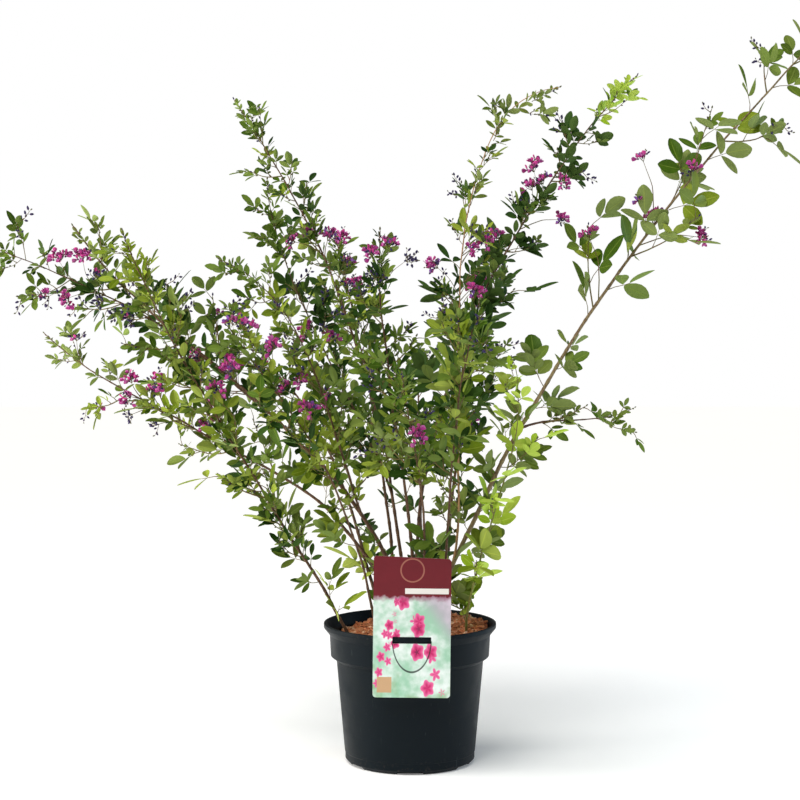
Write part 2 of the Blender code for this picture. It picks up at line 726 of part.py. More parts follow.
def build_canes(collection, guides, soil):
    """Every bough, then every mass of leaf in the space that the limbs leave it."""
    bark = material("cane_bark", (0.13, 0.075, 0.045), 0.8)
    finishes = {
        "stem": material("green_stem", (0.14, 0.13, 0.05), 0.7),
        "leaf": material("leaf_green", (0.075, 0.17, 0.03), 0.55),
        "blossom": material("blossom_pink", (0.56, 0.045, 0.28), 0.6),
    }
    six_sided = limb_profile("cane_section", 6, guides)
    three_sided = limb_profile("twig_section", 3, guides)
    soil_tree = BVHTree.FromObject(soil, bpy.context.evaluated_depsgraph_get())
    spaces, boughs, stems = Spaces(), {}, {}
    for cane in CANES:
        if cane.parent:
            bough, bough_object = boughs[cane.parent]
            start, ahead = child_start(bough, cane)
            fine = curve_points(start, cane)
            path = leafy_path(cane, fine, start, ahead, cane.radius * CHILD_SHARE)
        else:
            bough, fine, ahead = bough_path(cane, foot_on_soil(cane, soil_tree))
            bough_object = limb_object(f"cane_{cane.name}", bough, six_sided, bark, collection)
            path = leafy_path(cane, fine, bough.points[-1], ahead, cane.radius)
            spaces.add(f"cane_{cane.name}", bough)
            boughs[cane.name] = (bough, bough_object)
        stem = limb_object(f"foliage_{cane.name}", path, three_sided, finishes["stem"], collection)
        if cane.parent:
            path = seat_on_bark(stem, path, bough_object)
        spaces.add(cane.name, path)
        stems[cane.name] = (path, stem)
    for cane in CANES:
        path, stem = stems[cane.name]
        pieces = new_collection(f"pieces_{cane.name}")
        Mass(cane, path, spaces, finishes, three_sided, pieces).grow()
        join_pieces(stem, pieces)
        bpy.data.collections.remove(pieces)


def main():
    remove_everything()
    parts = new_collection("potted_bush_clover")
    cutters = new_collection("cutters")
    guides = new_collection("guides")
    build_pot(parts, cutters)
    soil = build_soil(parts)
    build_label(parts)
    build_canes(parts, guides, soil)


main()
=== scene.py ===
"""Dresses the potted bush clover: pot, bark soil, card, canes, leaves and blossom, with camera and light."""

from __future__ import annotations

import json
import logging
import math
import random
from bisect import bisect_right
from dataclasses import dataclass, replace
from enum import Enum
from functools import cache, reduce
from typing import Iterable, Iterator, Sequence

import bmesh
import bpy
import numpy as np
from mathutils import Matrix, Vector, noise
from mathutils.geometry import interpolate_bezier

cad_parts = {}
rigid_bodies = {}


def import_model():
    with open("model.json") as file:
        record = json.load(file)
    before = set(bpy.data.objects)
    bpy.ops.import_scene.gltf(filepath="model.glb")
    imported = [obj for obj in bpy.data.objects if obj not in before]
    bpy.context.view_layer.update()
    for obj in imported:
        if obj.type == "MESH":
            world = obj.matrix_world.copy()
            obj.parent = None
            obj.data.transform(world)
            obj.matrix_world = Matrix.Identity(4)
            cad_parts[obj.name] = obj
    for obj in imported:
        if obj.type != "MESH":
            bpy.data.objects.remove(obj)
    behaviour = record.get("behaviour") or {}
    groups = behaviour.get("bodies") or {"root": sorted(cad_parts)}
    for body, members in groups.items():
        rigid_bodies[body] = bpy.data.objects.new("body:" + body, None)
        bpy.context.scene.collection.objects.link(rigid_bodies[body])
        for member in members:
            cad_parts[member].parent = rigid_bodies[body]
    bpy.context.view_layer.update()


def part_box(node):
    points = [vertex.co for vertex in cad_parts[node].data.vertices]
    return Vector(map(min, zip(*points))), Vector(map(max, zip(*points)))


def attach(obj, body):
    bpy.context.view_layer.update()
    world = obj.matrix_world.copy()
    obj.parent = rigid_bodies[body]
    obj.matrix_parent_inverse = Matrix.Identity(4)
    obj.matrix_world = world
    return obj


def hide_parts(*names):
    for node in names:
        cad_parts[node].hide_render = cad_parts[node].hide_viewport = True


LOG = logging.getLogger("potted_bush_clover")
UP = Vector((0.0, 0.0, 1.0))
FRONT = Vector((0.0, -1.0, 0.0))
WELD = 1e-6
GAP = 0.0003
GOLDEN_ANGLE = math.radians(137.5)

# The source's sizes of the pot, the soil and the card, in metres
POT_HEIGHT = 0.154
LIP_RADIUS = 0.095
LIP_FACE = 0.0046
LIP_DROP = 0.0126
LIP_TOP_WIDTH = 0.0033
COLLAR_RADIUS = 0.0885
COLLAR_TAPER = 0.0012
COLLAR_DROP = 0.036
STEP_DROP = 0.0405
WALL_TOP_RADIUS = 0.081
WALL_FOOT_RADIUS = 0.0715
FOOT_RADIUS = 0.067
FOOT_HEIGHT = 0.0045
POT_WALL = 0.0016
POT_FLOOR = 0.0025
DRAIN_COUNT = 6
DRAIN_SIZE = (0.028, 0.022, 0.0065)
DRAIN_REACH = 0.0065
SOIL_TOP = 0.137
SOIL_RISE = 0.004
SOIL_LUMP = 0.0018
SOIL_LUMP_SIZE = 0.02
CARD_WIDTH = 0.082
CARD_TOP = 0.2405
CARD_BOTTOM = 0.0895
CARD_CORNER = 0.0035
CARD_THICKNESS = 0.0006
CARD_MIDDLE = 0.0015
CARD_FRONT = -0.09405
CARD_SWING = math.radians(0.6)
SLOT_WIDTH = 0.041
SLOT_HEIGHT = 0.0072
SLOT_CORNER = 0.0006
SLOT_MIDDLE = POT_HEIGHT + GAP - SLOT_HEIGHT / 2

# The source's rule of growth: lengths in metres, spreads in degrees, places as shares of a limb
FOOT_STRAIGHT = 0.004
CANE_POINTS = 5
STEM_STEP = 0.06
TIP_SHARE = 0.28
CHILD_SHARE = 0.62
CAP_STUB = 0.004
FINE_POINTS = 61
LEAF_LENGTH = 0.040
LEAF_WIDTH = 0.019
LEAF_WIDEST = 0.57
LEAF_LIFT = 0.12
LEAF_SPREAD = (42, 68)
LEAF_LENGTHS = (0.85, 1.15)
LEAF_TILT = 0.35
LEAF_TWIST = 0.5
LEAF_STEP = 0.037
STEM_LEAVES = (0.04, 0.98)
SHOOT_LEAF_SIZE = 0.95
SHOOT_LEAF_STEP = 0.026
SHOOT_LEAVES = (0.3, 0.95)
SHOOT_RADIUS = 0.0009
SHOOT_SPREAD = (38, 58)
SHOOT_LENGTHS = (0.75, 1.2)
SHOOT_LIFT = 0.25
SHOOT_REACH = 0.2
SHOOT_STRETCH = (0.06, 0.88)
FLOWER_WIDTH = 0.012
FLOWER_LENGTH = 0.017
FLOWER_REACH = 0.35
FLOWER_PLACES = (0.7, 0.95)
FLOWERING_LEAVES_END = 0.6
SPACE_MARGIN = 0.0014
LIMB_MARGIN = 0.0012
TURNS = 5
RIM_CLEARANCE = 0.012
LABEL_CLEARANCE = 0.008
AXIS_STEP = 0.006

# The points of a leaf or flower that must have room: shares of its width and length
LEAF_OUTLINE = ((0, 0.3), (0, 1), (-1, LEAF_WIDEST), (1, LEAF_WIDEST), (-0.6, 0.8), (0.6, 0.8), (-0.5, 0.3),
                (0.5, 0.3))
FINE_OUTLINE = ((0, 0.55), (0, 1), (-0.42, 0.52), (0.42, 0.52), (-0.2, 0.75), (0.2, 0.75))
FLOWER_OUTLINE = ((0, 0.6), (0, 1), (-0.5, 0.5), (0.5, 0.5))

# The finer growth that the source leaves out
FINE_SLACK = 0.012
FINE_TURNS = 4
FINE_SPREAD = (28, 60)
LEAFLET_SPREAD = (50, 76)
LEAFLET_YAW = (-8, 8)
LEAFLET_DROOP = (-16, 22)
LEAFLET_ROLL = (-28, 28)
LEAFLET_SHARE = 0.58
SIDE_LEAFLET = 0.86
STALK_SHARE = 0.34
STALK_RADII = (0.00055, 0.00042, 0.00036)
LEAFLET_STALK = 0.14
LEAFLET_STALK_RADII = (0.0003, 0.00028)
YOUNG_SHARE = 0.72
YOUNG_SIDE = 0.78
YOUNG_STALK = 0.22
YOUNG_STALK_RADII = (0.00035, 0.0003)
TWIG_SPREAD = (38, 64)
STEM_LEAF_GAP = 0.020
TWIG_GAP = 0.032
TWIG_LENGTHS = (0.020, 0.044)
TWIG_LEAF_GAP = 0.0115
TWIG_RADIUS = 0.0007
TWIG_TAPER = 0.55
TWIG_BLOSSOM = 0.35
TIP_REACH = 0.062
TIP_LEAF_GAP = 0.0092
TIP_LEAF = (0.026, 0.010)
TIP_BUDS = 5
TIP_BUD_GAP = 0.004
SPRIG_GAP = 0.046
SPRIG_LENGTHS = (0.012, 0.034)
SPRIG_LEAVES = (0.021, 0.036)
SPRIG_LEAF_GAP = 0.008
SPRIG_ROOM = 0.018
SPRIG_RADIUS = 0.0005
RACEME_GAP = 0.0023
RACEME_LENGTHS = (0.012, 0.022)
RACEME_BARE = 0.28
RACEME_BUDS_END = 0.9
RACEME_RADII = (0.00045, 0.00035, 0.0002)
CLUMP_RACEMES = (4, 5)
CLUMP_LENGTHS = (0.008, 0.016)
CLUMP_OPEN = 0.66
CLUMP_OPENED = (0.6, 0.9)
CLUMP_STANDS = (0.004, 0.014)
BUDS_OPEN = 0.06
STRAY_BLOOM = 0.06
FADED_BLOOM = 0.05
FLOWER_SIZES = (0.0072, 0.0094)
BUD_SIZES = (0.0038, 0.0058)
SMALL_BUD_SIZES = (0.002, 0.0034)
TIP_BUD_SIZES = (0.0026, 0.0044)
PEDICEL = 0.0018
PEDICEL_RADII = (0.0002, 0.0002)
CALYX_SIZE = 0.3
BANNER_SIZE = 0.7
WING_SIZE = 0.78
KEEL_SIZE = 0.74
BANNER_LEAN = 60
KEEL_LEAN = -14
WING_SPREAD = 16
BEND = 0.0026
BEND_LENGTH = 0.075
BEND_FOOT = (0.150, 0.06)
BEND_SEED = 7
SWAY = 0.0007
SWAY_SCALE = 30
SWAY_FOOT = 0.02
SUNK = 0.008
CANE_STEP = 0.0024
NODE_GAP = 0.021
NODE_SWELL = 0.22
NODE_WIDTH = 0.0018
BARK_RELIEF = 0.00013
SHAPES = 6
SHADES = 5
STRAY_TONE = 0.35
YOUNG_STRAY = 0.08
YOUNG_FROM = 0.8
TIP_THINNING = 1.2
STEM_THINNING = 0.16

# The camera that the photograph's pot and label give
CAMERA_PLACE = (-0.011, -2.2, 0.536)
CAMERA_PITCH = math.radians(90 - 3.553)
CAMERA_LENS = 90.53


class Bark(Enum):
    """The barks that a cane may have."""

    BROWN = "brown"
    RUSSET = "russet"
    OLIVE = "olive"
    GREEN = "green"


class Tone(Enum):
    """The greens that a spray of leaves may have."""

    DEEP = "deep"
    MID = "mid"
    OLIVE = "olive"
    FRESH = "fresh"
    LIME = "lime"


DEEP, MID, OLIVE, FRESH, LIME = Tone


class Side(Enum):
    """The parts of the crown that a piece of leaves keeps to."""

    LEFT = "left"
    MIDDLE = "middle"
    RIGHT = "right"

    @classmethod
    def of(cls, tip: Sequence[float]) -> Side:
        """The part that a cane's tip is in."""
        return cls.LEFT if tip[0] < -0.18 else cls.RIGHT if tip[0] > 0.08 else cls.MIDDLE


class Petal(Enum):
    """The kinds of small piece that a spray of blossom is made of."""

    BANNER = "banner_magenta"
    FADED = "banner_violet"
    WING = "wing_purple"
    KEEL = "keel_pink"
    CALYX = "calyx_dark"
    BUD = "bud_navy"
    TIP = "bud_green"


def colour(code: str) -> tuple[float, ...]:
    """Turns six hexadecimal digits into the linear colour that a shader reads."""
    shares = [int(code[place:place + 2], 16) / 255 for place in (0, 2, 4)]
    return *(c / 12.92 if c <= 0.04045 else ((c + 0.055) / 1.055) ** 2.4 for c in shares), 1.0


def feed(value: Wire | float | str | tuple, entry: bpy.types.NodeSocket) -> None:
    """Gives a node's input what it reads.

    Args:
        value: A wire, a number, a place or a colour code.
        entry: The input.
    """
    if isinstance(value, Wire):
        entry.id_data.links.new(value.socket, entry)
    else:
        entry.default_value = colour(value) if isinstance(value, str) else value


class Wire:
    """One output in a node tree, on which each sum adds a node."""

    def __init__(self, socket: bpy.types.NodeSocket) -> None:
        """Keeps the output."""
        self.socket = socket

    def then(self, kind: str, inputs: dict, output: int | str = 0, **settings: object) -> Wire:
        """Adds a node to the tree.

        Args:
            kind: Its type, without the words that every type starts with.
            inputs: What each input gets, by name or place.
            output: The output to take.
            settings: Its own properties.

        Returns:
            The wire from that output.
        """
        node = self.socket.id_data.nodes.new("ShaderNode" + kind)
        for name, value in settings.items():
            setattr(node, name, value)
        for key, value in inputs.items():
            feed(value, node.inputs[key])
        return Wire(node.outputs[output])

    def beside(self, output: str) -> Wire:
        """Another output of the same node."""
        return Wire(self.socket.node.outputs[output])

    def parts(self) -> list[Wire]:
        """Its three coordinates."""
        return [Wire(part) for part in self.then("SeparateXYZ", {0: self}).socket.node.outputs]

    def math(self, operation: str, *others: Wire | float) -> Wire:
        """Works one sum on it."""
        return self.then("Math", dict(enumerate((self, *others))), operation=operation)

    def __add__(self, other: Wire | float) -> Wire:
        """Adds to it."""
        return self.math("ADD", other)

    def __sub__(self, other: Wire | float) -> Wire:
        """Takes away from it."""
        return self.math("SUBTRACT", other)

    def __mul__(self, other: Wire | float) -> Wire:
        """Multiplies it."""
        return self.math("MULTIPLY", other)

    def __abs__(self) -> Wire:
        """Its size without its sign."""
        return self.math("ABSOLUTE")

    def slant(self, other: Wire) -> Wire:
        """The distance that it and another, square to it, make together."""
        return (self * self + other * other).math("SQRT")

    def spread(self, low: float, high: float, to_low: float = 0.0, to_high: float = 1.0) -> Wire:
        """Moves it smoothly from one range to another."""
        inputs = dict(enumerate((self, low, high, to_low, to_high)))
        return self.then("MapRange", inputs, interpolation_type="SMOOTHSTEP")

    def fade(self, low: float, high: float) -> Wire:
        """Runs smoothly down from one to nothing between two values."""
        return self.spread(low, high, 1.0, 0.0)

    def noise(self, scale: Wire | float, detail: float = 3.0) -> Wire:
        """A soft noise at this place."""
        return self.then("TexNoise", {"Vector": self, "Scale": scale, "Detail": detail})

    def mapped(self, scale: tuple = (1.0, 1.0, 1.0), turn: tuple = (0.0, 0.0, 0.0)) -> Wire:
        """This place in a pattern that is scaled and turned."""
        return self.then("Mapping", {"Vector": self, "Rotation": turn, "Scale": scale})

    def mottle(self, scale: float) -> Wire:
        """The shared cloud of light and dark at this place."""
        return self.then("Group", {"Place": self, "Scale": scale}, node_tree=mottle_group())

    def outline(self) -> list[Wire]:
        """The places across and along a blade, from its own map."""
        return self.then("UVMap", {}, uv_map="outline").parts()

    def bump(self, strength: float, distance: float) -> Wire:
        """The normal that this height bends."""
        return self.then("Bump", {"Strength": strength, "Distance": distance, "Height": self})


@cache
def mottle_group() -> bpy.types.NodeTree:
    """Builds a soft cloud in two scales once, for stained and weathered surfaces.

    Returns:
        The group, which turns a place and a scale into a mask.
    """
    tree = bpy.data.node_groups.new("mottle", "ShaderNodeTree")
    for label, way, kind in (("Place", "INPUT", "Vector"), ("Scale", "INPUT", "Float"),
                             ("Mask", "OUTPUT", "Float")):
        tree.interface.new_socket(label, in_out=way, socket_type="NodeSocket" + kind)
    place, scale = [Wire(output) for output in tree.nodes.new("NodeGroupInput").outputs][:2]
    both = place.noise(scale, 2.0) * 0.65 + place.noise(scale * 4.3, 4.0) * 0.35
    feed(both.spread(0.36, 0.64), tree.nodes.new("NodeGroupOutput").inputs["Mask"])
    return tree


def mix(share: Wire | float, first: Wire | str, second: Wire | str) -> Wire:
    """Mixes two colours, where the share or the first of them is a wire."""
    known = share if isinstance(share, Wire) else first
    return known.then("Mix", {0: share, 6: first, 7: second}, 2, data_type="RGBA")


def layered(base: Wire | str, *coats: tuple) -> Wire:
    """Lays coats over a base colour, each given by its share and its colour."""
    return reduce(lambda under, coat: mix(coat[0], under, coat[1]), coats, base)


@dataclass(frozen=True)
class Finish:
    """What every finish has: a name, and a material made from what its paint method gives."""

    name: str

    @cache
    def build(self) -> bpy.types.Material:
        """Builds the material once.

        Returns:
            The material.
        """
        made = bpy.data.materials.new(self.name)
        made.use_nodes = True
        place = Wire(made.node_tree.nodes.new("ShaderNodeTexCoord").outputs["Object"])
        for name, value in self.paint(place).items():
            feed(value, made.node_tree.nodes["Principled BSDF"].inputs[name])
        return made

    def paint(self, place: Wire) -> dict[str, Wire | float | str]:
        """What each of the shader's inputs gets, by the place on the piece."""
        raise NotImplementedError


@dataclass(frozen=True)
class LeafFinish(Finish):
    """A leaf: a matt green face with a pale midrib and veins, and a paler grey-green back."""

    face: str
    shade: str
    back: str
    vein: str

    def paint(self, place: Wire) -> dict[str, Wire | float | str]:
        """Lays the veins over mottled greens, by the leaflet's own outline map and tone.

        Args:
            place: The place on the piece.

        Returns:
            What each of the shader's inputs gets.
        """
        across, along, _ = place.outline()
        side = abs(across - 0.5)
        midrib = side.fade(0.012, 0.05)
        wave = abs((along * 9.0 - side * 7.0).math("FRACT") - 0.5)
        veins = wave.fade(0.0, 0.09) * side.fade(0.34, 0.48)
        cloud = place.mottle(30.0)
        tone = place.then("Attribute", {}, "Fac", attribute_name="tone")
        face = mix(cloud * 0.5, self.face, self.shade)
        face = layered(face, (tone, mix(0.55, face, self.vein)), (veins * 0.22, self.vein),
                       (midrib * 0.5, self.vein))
        back = layered(self.back, (veins * 0.35, self.vein), (midrib * 0.8, self.vein),
                       (cloud * 0.2, self.face))
        below = place.then("NewGeometry", {}, "Backfacing")
        return {"Base Color": mix(below, face, back), "Specular IOR Level": 0.1,
                "Roughness": (cloud * 0.16 + 0.44).math("MAXIMUM", below * 0.8),
                "Normal": ((veins * 0.5 + midrib) * -1.0).bump(0.35, 0.0003)}


@dataclass(frozen=True)
class PetalFinish(Finish):
    """A petal or bud: one soft colour, paler or darker towards its root."""

    tip: str
    root: str
    sheen: float = 0.15

    def paint(self, place: Wire) -> dict[str, Wire | float | str]:
        """Runs from one colour to the other along the petal's own map.

        Args:
            place: The place on the piece.

        Returns:
            What each of the shader's inputs gets.
        """
        share = place.outline()[1].spread(0.05, 0.65) + place.mottle(220.0) * 0.25
        return {"Base Color": mix(share.math("MINIMUM", 1.0), self.root, self.tip), "Roughness": 0.6,
                "Sheen Weight": self.sheen, "Specular IOR Level": 0.3}


@dataclass(frozen=True)
class BarkFinish(Finish):
    """Thin bark: long streaks, pale breathing pores and a dull surface."""

    base: str
    streak: str
    pore: str
    roughness: float = 0.7

    def paint(self, place: Wire) -> dict[str, Wire | float | str]:
        """Stretches the streaks and pores along the cane's height.

        Args:
            place: The place on the piece.

        Returns:
            What each of the shader's inputs gets.
        """
        streaks = place.mapped((1.0, 1.0, 0.16)).noise(650.0, 4.0).spread(0.38, 0.64)
        cells = place.mapped((1.0, 1.0, 0.7))
        pores = cells.then("TexVoronoi", {"Vector": cells, "Scale": 520.0}).fade(0.12, 0.26)
        skin = layered(self.base, (streaks, self.streak), (place.mottle(24.0) * 0.4, self.base),
                       (pores * 0.5, self.pore))
        return {"Base Color": skin, "Normal": (streaks + pores).bump(0.4, 0.0003), "Specular IOR Level": 0.3,
                "Roughness": streaks.spread(0.0, 1.0, self.roughness - 0.1, self.roughness + 0.1)}


@dataclass(frozen=True)
class PlasticFinish(Finish):
    """Moulded pot plastic: green-black, finely grained, with rubbed edges and a little soil dust."""

    base: str
    worn: str
    dust: str
    scuff: str

    def paint(self, place: Wire) -> dict[str, Wire | float | str]:
        """Puts dust near the foot and the rim, and scuffs and fine rings on the wall.

        Args:
            place: The place on the piece.

        Returns:
            What each of the shader's inputs gets.
        """
        height = place.parts()[2]
        cloud = place.mottle(14.0)
        near = height.spread(0.0, 0.022, 0.5, 0.0) + height.spread(POT_HEIGHT - 0.018, POT_HEIGHT, 0.0, 0.3)
        dusty = place.noise(330.0, 5.0).spread(0.55, 0.72) * near
        scratches = place.mapped((1.0, 1.0, 0.05), (0.3, 0.5, 0.0)).noise(520.0, 2.0)
        scuffs = scratches.spread(0.68, 0.76) * (cloud * 0.35)
        fine = place.noise(1900.0, 2.0) * 0.35 + place.mapped((2.0, 2.0, 160.0)).noise(3.0, 2.0)
        skin = layered(self.base, (cloud * 0.5, self.worn), (dusty, self.dust), (scuffs, self.scuff))
        return {"Base Color": skin, "Normal": fine.bump(0.22, 0.0004), "Specular IOR Level": 0.11,
                "Roughness": cloud.spread(0.0, 1.0, 0.42, 0.54) + dusty * 0.3}


@dataclass(frozen=True)
class SoilFinish(Finish):
    """Loose bark or fibre: two browns in small patches, dull and rough."""

    base: str
    dark: str
    scale: float = 160.0

    def paint(self, place: Wire) -> dict[str, Wire | float | str]:
        """Mixes the browns in patches, with fibres that stand a little proud."""
        return {"Base Color": mix(place.mottle(self.scale), self.base, self.dark), "Roughness": 0.92,
                "Specular IOR Level": 0.15, "Normal": place.noise(1300.0, 4.0).bump(0.6, 0.0005)}


@dataclass(frozen=True)
class CardFinish(Finish):
    """The card's face: a plain wine band over a soft green ground with scattered five-petalled blooms.

    A lane of blooms has their number in a metre, its lean, its middle and half of its width. A patch has its
    middle and half of each side, the ring its middle's height, its radius and half of its line's width.
    """

    name: str = "card_print"
    band: tuple = ("701824", "60131e", "9a5a75")
    bloom: tuple = ("dc3074", "b3215f", "ee6ba6", "7a1f4c")
    lanes: tuple = ((66.0, 0.52, 0.004, 0.0135), (104.0, -0.35, -0.024, 0.0085))
    square: tuple = (-0.0289, -0.0476, 0.0079, 0.0085)
    strip: tuple = (0.0154, 0.0524, 0.0232, 0.0031)
    ring: tuple = (0.0745, 0.0122, 0.0005)
    arc_drop: float = 0.034

    def paint(self, place: Wire) -> dict[str, Wire | float | str]:
        """Prints the ground, the blooms, the band and the plain shapes, measured from the slot's middle.

        Args:
            place: The place on the piece.

        Returns:
            What each of the shader's inputs gets.
        """
        place = place.then("VectorMath", {0: place, 1: (CARD_MIDDLE, 0.0, SLOT_MIDDLE)}, operation="SUBTRACT")
        place = place.mapped(turn=(0.0, -CARD_SWING, 0.0))
        across, _, up = place.parts()
        leafy = (place.noise(46.0, 2.0) - up * 2.4).spread(0.6, 0.8) * 0.75
        mauve = (across + up * 0.7).spread(0.03, 0.055) * 0.55
        ground = layered("eef6f4", (place.mottle(30.0), "9fceb2"), (leafy, "78ab6c"), (mauve, "c79bc4"))
        for lane in self.lanes:
            ground = self.blooms(place, ground, *lane)
        edge = up + (place.noise(150.0) - 0.5) * 0.009
        wine, dark_wine, rim = self.band
        band = mix(place.mottle(60.0) * 0.3, wine, dark_wine)
        middle, radius, line = self.ring
        ring = abs(across.slant(up - middle) - radius).fade(line, 2 * line)
        arc = abs((across * (2 / SLOT_WIDTH)).slant(up * (1 / self.arc_drop)) - 1.0).fade(0.018, 0.04)
        ground = layered(ground, (self.patch(across, up, *self.square), "c9a37c"),
                         (edge.spread(0.0405, 0.0465) * 0.8, rim), (edge.spread(0.0455, 0.0475), band),
                         (self.patch(across, up, *self.strip), "efebe6"), (ring * 0.8, "b0705f"),
                         (arc * up.fade(-0.0015, 0.0) * 0.9, "222b27"))
        return {"Base Color": ground, "Roughness": 0.35, "Specular IOR Level": 0.22, "Coat Weight": 0.12,
                "Coat Roughness": 0.2, "Normal": place.noise(900.0, 2.0).bump(0.12, 0.0002)}

    def blooms(self, place: Wire, ground: Wire, scale: float, lean: float, middle: float,
               half: float) -> Wire:
        """Prints blooms over a ground, in a slanting lane.

        Args:
            place: The place on the card.
            ground: The colour below.
            scale: How many there are in a metre.
            lean: How far the lane leans.
            middle: Where it crosses the slot's height.
            half: Half of its width.

        Returns:
            The colour with them on it.
        """
        flat = place.mapped((1.0, 0.0, 0.8))
        cell = flat.then("TexVoronoi", {"Vector": flat, "Scale": scale, "Randomness": 0.75}, "Position")
        across, _, up = cell.parts()
        kept = abs(across - middle + up * lean).math("LESS_THAN", half)
        east, _, north = flat.then("VectorMath", {0: flat, 1: cell}, operation="SUBTRACT").parts()
        away = cell.beside("Distance") + (north.math("ARCTAN2", east) * 5.0).math("COSINE") * 0.06
        petal, shade, edge, heart = self.bloom
        tint = layered(petal, (place.noise(190.0, 2.0), shade), (away.spread(0.2, 0.5), edge),
                       (away.fade(0.06, 0.18), heart))
        return mix(away.fade(0.46, 0.5) * kept, ground, tint)

    @staticmethod
    def patch(across: Wire, up: Wire, middle: float, level: float, half_width: float,
              half_height: float) -> Wire:
        """The mask of a plain rectangle."""
        rise = abs(up - level).fade(half_height - 0.0003, half_height)
        return abs(across - middle).fade(half_width - 0.0003, half_width) * rise


@dataclass(frozen=True)
class PlainFinish(Finish):
    """An even surface with a faint mottle, such as the card's back or the floor."""

    base: str
    shade: str
    roughness: float
    scale: float = 8.0
    glow: float = 0.0

    def paint(self, place: Wire) -> dict[str, Wire | float | str]:
        """Mottles the colour."""
        return {"Base Color": mix(place.mottle(self.scale) * 0.5, self.base, self.shade),
                "Roughness": self.roughness, "Emission Color": self.base, "Emission Strength": self.glow}


LEAF_FINISHES = {
    DEEP: LeafFinish("leaf_deep", "25460f", "14290a", "4e6630", "486628"),
    MID: LeafFinish("leaf_mid", "486814", "2c450d", "7a8e46", "889e42"),
    OLIVE: LeafFinish("leaf_olive", "607624", "455a13", "849454", "98a854"),
    FRESH: LeafFinish("leaf_fresh", "7c921d", "5c7413", "98a84c", "b4c250"),
    LIME: LeafFinish("leaf_lime", "a6c62e", "88ac1e", "bad45c", "d0e068"),
}
LEAF_SLOTS = {DEEP: "foliage_dark", MID: "foliage_green", OLIVE: "foliage_green", FRESH: "foliage_bright",
              LIME: "foliage_bright"}
PETAL_FINISHES = {
    Petal.BANNER: PetalFinish("petal_banner", "cf3c94", "8e1f66"),
    Petal.FADED: PetalFinish("petal_faded", "8a4fac", "512c80"),
    Petal.WING: PetalFinish("petal_wing", "b5308a", "7a2068"),
    Petal.KEEL: PetalFinish("petal_keel", "d56ab8", "a84596"),
    Petal.CALYX: PetalFinish("calyx", "3b2440", "4d3f34"),
    Petal.BUD: PetalFinish("bud_navy", "2a2150", "43275c", 0.1),
    Petal.TIP: PetalFinish("bud_green", "5d5a3c", "6c7a36"),
}
BARK_FINISHES = {
    Bark.BROWN: BarkFinish("bark_brown", "6e5039", "46332a", "a08468"),
    Bark.RUSSET: BarkFinish("bark_russet", "c2966a", "9c7048", "dcba94", 0.62),
    Bark.OLIVE: BarkFinish("bark_olive", "8f7e58", "705640", "b8aa80", 0.62),
    Bark.GREEN: BarkFinish("bark_green", "7c8238", "6b5f30", "a5a363", 0.6),
}
TWIG_FINISH = BarkFinish("twig_skin", "70703a", "7d5436", "96965c", 0.6)
POT_FINISH = PlasticFinish("pot_plastic", "051016", "0b151c", "4a423c", "4a5250")
CARD_BACK = PlainFinish("card_back", "e8e8e2", "dcdcd6", 0.4, 60.0)
FLOOR_FINISH = PlainFinish("pale_floor", "fdfdfd", "fbfbfb", 0.8, 2.0, 0.16)
SOIL_BED = SoilFinish("soil_bed", "c4704e", "7c4630")
CHIP_FINISHES = (SoilFinish("chip_red", "f8a47a", "dc8860"), SoilFinish("chip_dark", "d08058", "9c6042"),
                 SoilFinish("chip_pale", "fcd2b0", "e8b08e"))
FIBRE_FINISH = SoilFinish("fibre", "f0b084", "d08860")


def turned(direction: Vector, axis: Vector, angle: float) -> Vector:
    """A direction turned round an axis."""
    return Matrix.Rotation(angle, 3, axis) @ direction


def leaning(ahead: Vector, out: Vector, spread: float) -> Vector:
    """A direction that leans out from a limb's own by an angle."""
    return ahead * math.cos(spread) + out * math.sin(spread)


def placed(root: Vector, along: Vector, lift: Vector) -> Matrix:
    """Lays +Y along a direction, with +Z as near as it can be to a lift.

    Args:
        root: The frame's origin.
        along: The direction.
        lift: The side that +Z turns to.

    Returns:
        The frame.
    """
    forward = along.normalized()
    across = forward.cross(lift).normalized()
    frame = Matrix((across, forward, across.cross(forward))).transposed().to_4x4()
    return Matrix.Translation(root) @ frame


def around(direction: Vector, angle: float) -> Vector:
    """Finds a way out from a direction.

    Args:
        direction: The direction.
        angle: The turn round it, from its upper side.

    Returns:
        A unit vector square to it.
    """
    level = direction.cross(UP)
    level = level.normalized() if level.length > 1e-3 else Vector((1, 0, 0))
    upper = level.cross(direction).normalized()
    return level * math.sin(angle) + upper * math.cos(angle)


def fan(ahead: Vector, angle: float, count: int) -> Iterator[Vector]:
    """Ways out from a direction, at even turns round it from an angle on."""
    return (around(ahead, angle + turn * math.tau / count) for turn in range(count))


def forked(point: Vector, first: Vector, second: Vector, length: float) -> list[Vector]:
    """The start, middle and end of a twig whose two halves run in two directions."""
    middle = point + first * length / 2
    return [point, middle, middle + second * length / 2]


def linked(name: str, data: bpy.types.ID) -> bpy.types.Object:
    """Puts a mesh, curve, lamp or camera in the scene.

    Args:
        name: The object's name.
        data: What it shows.

    Returns:
        The object.
    """
    made = bpy.data.objects.new(name, data)
    bpy.context.scene.collection.objects.link(made)
    return made


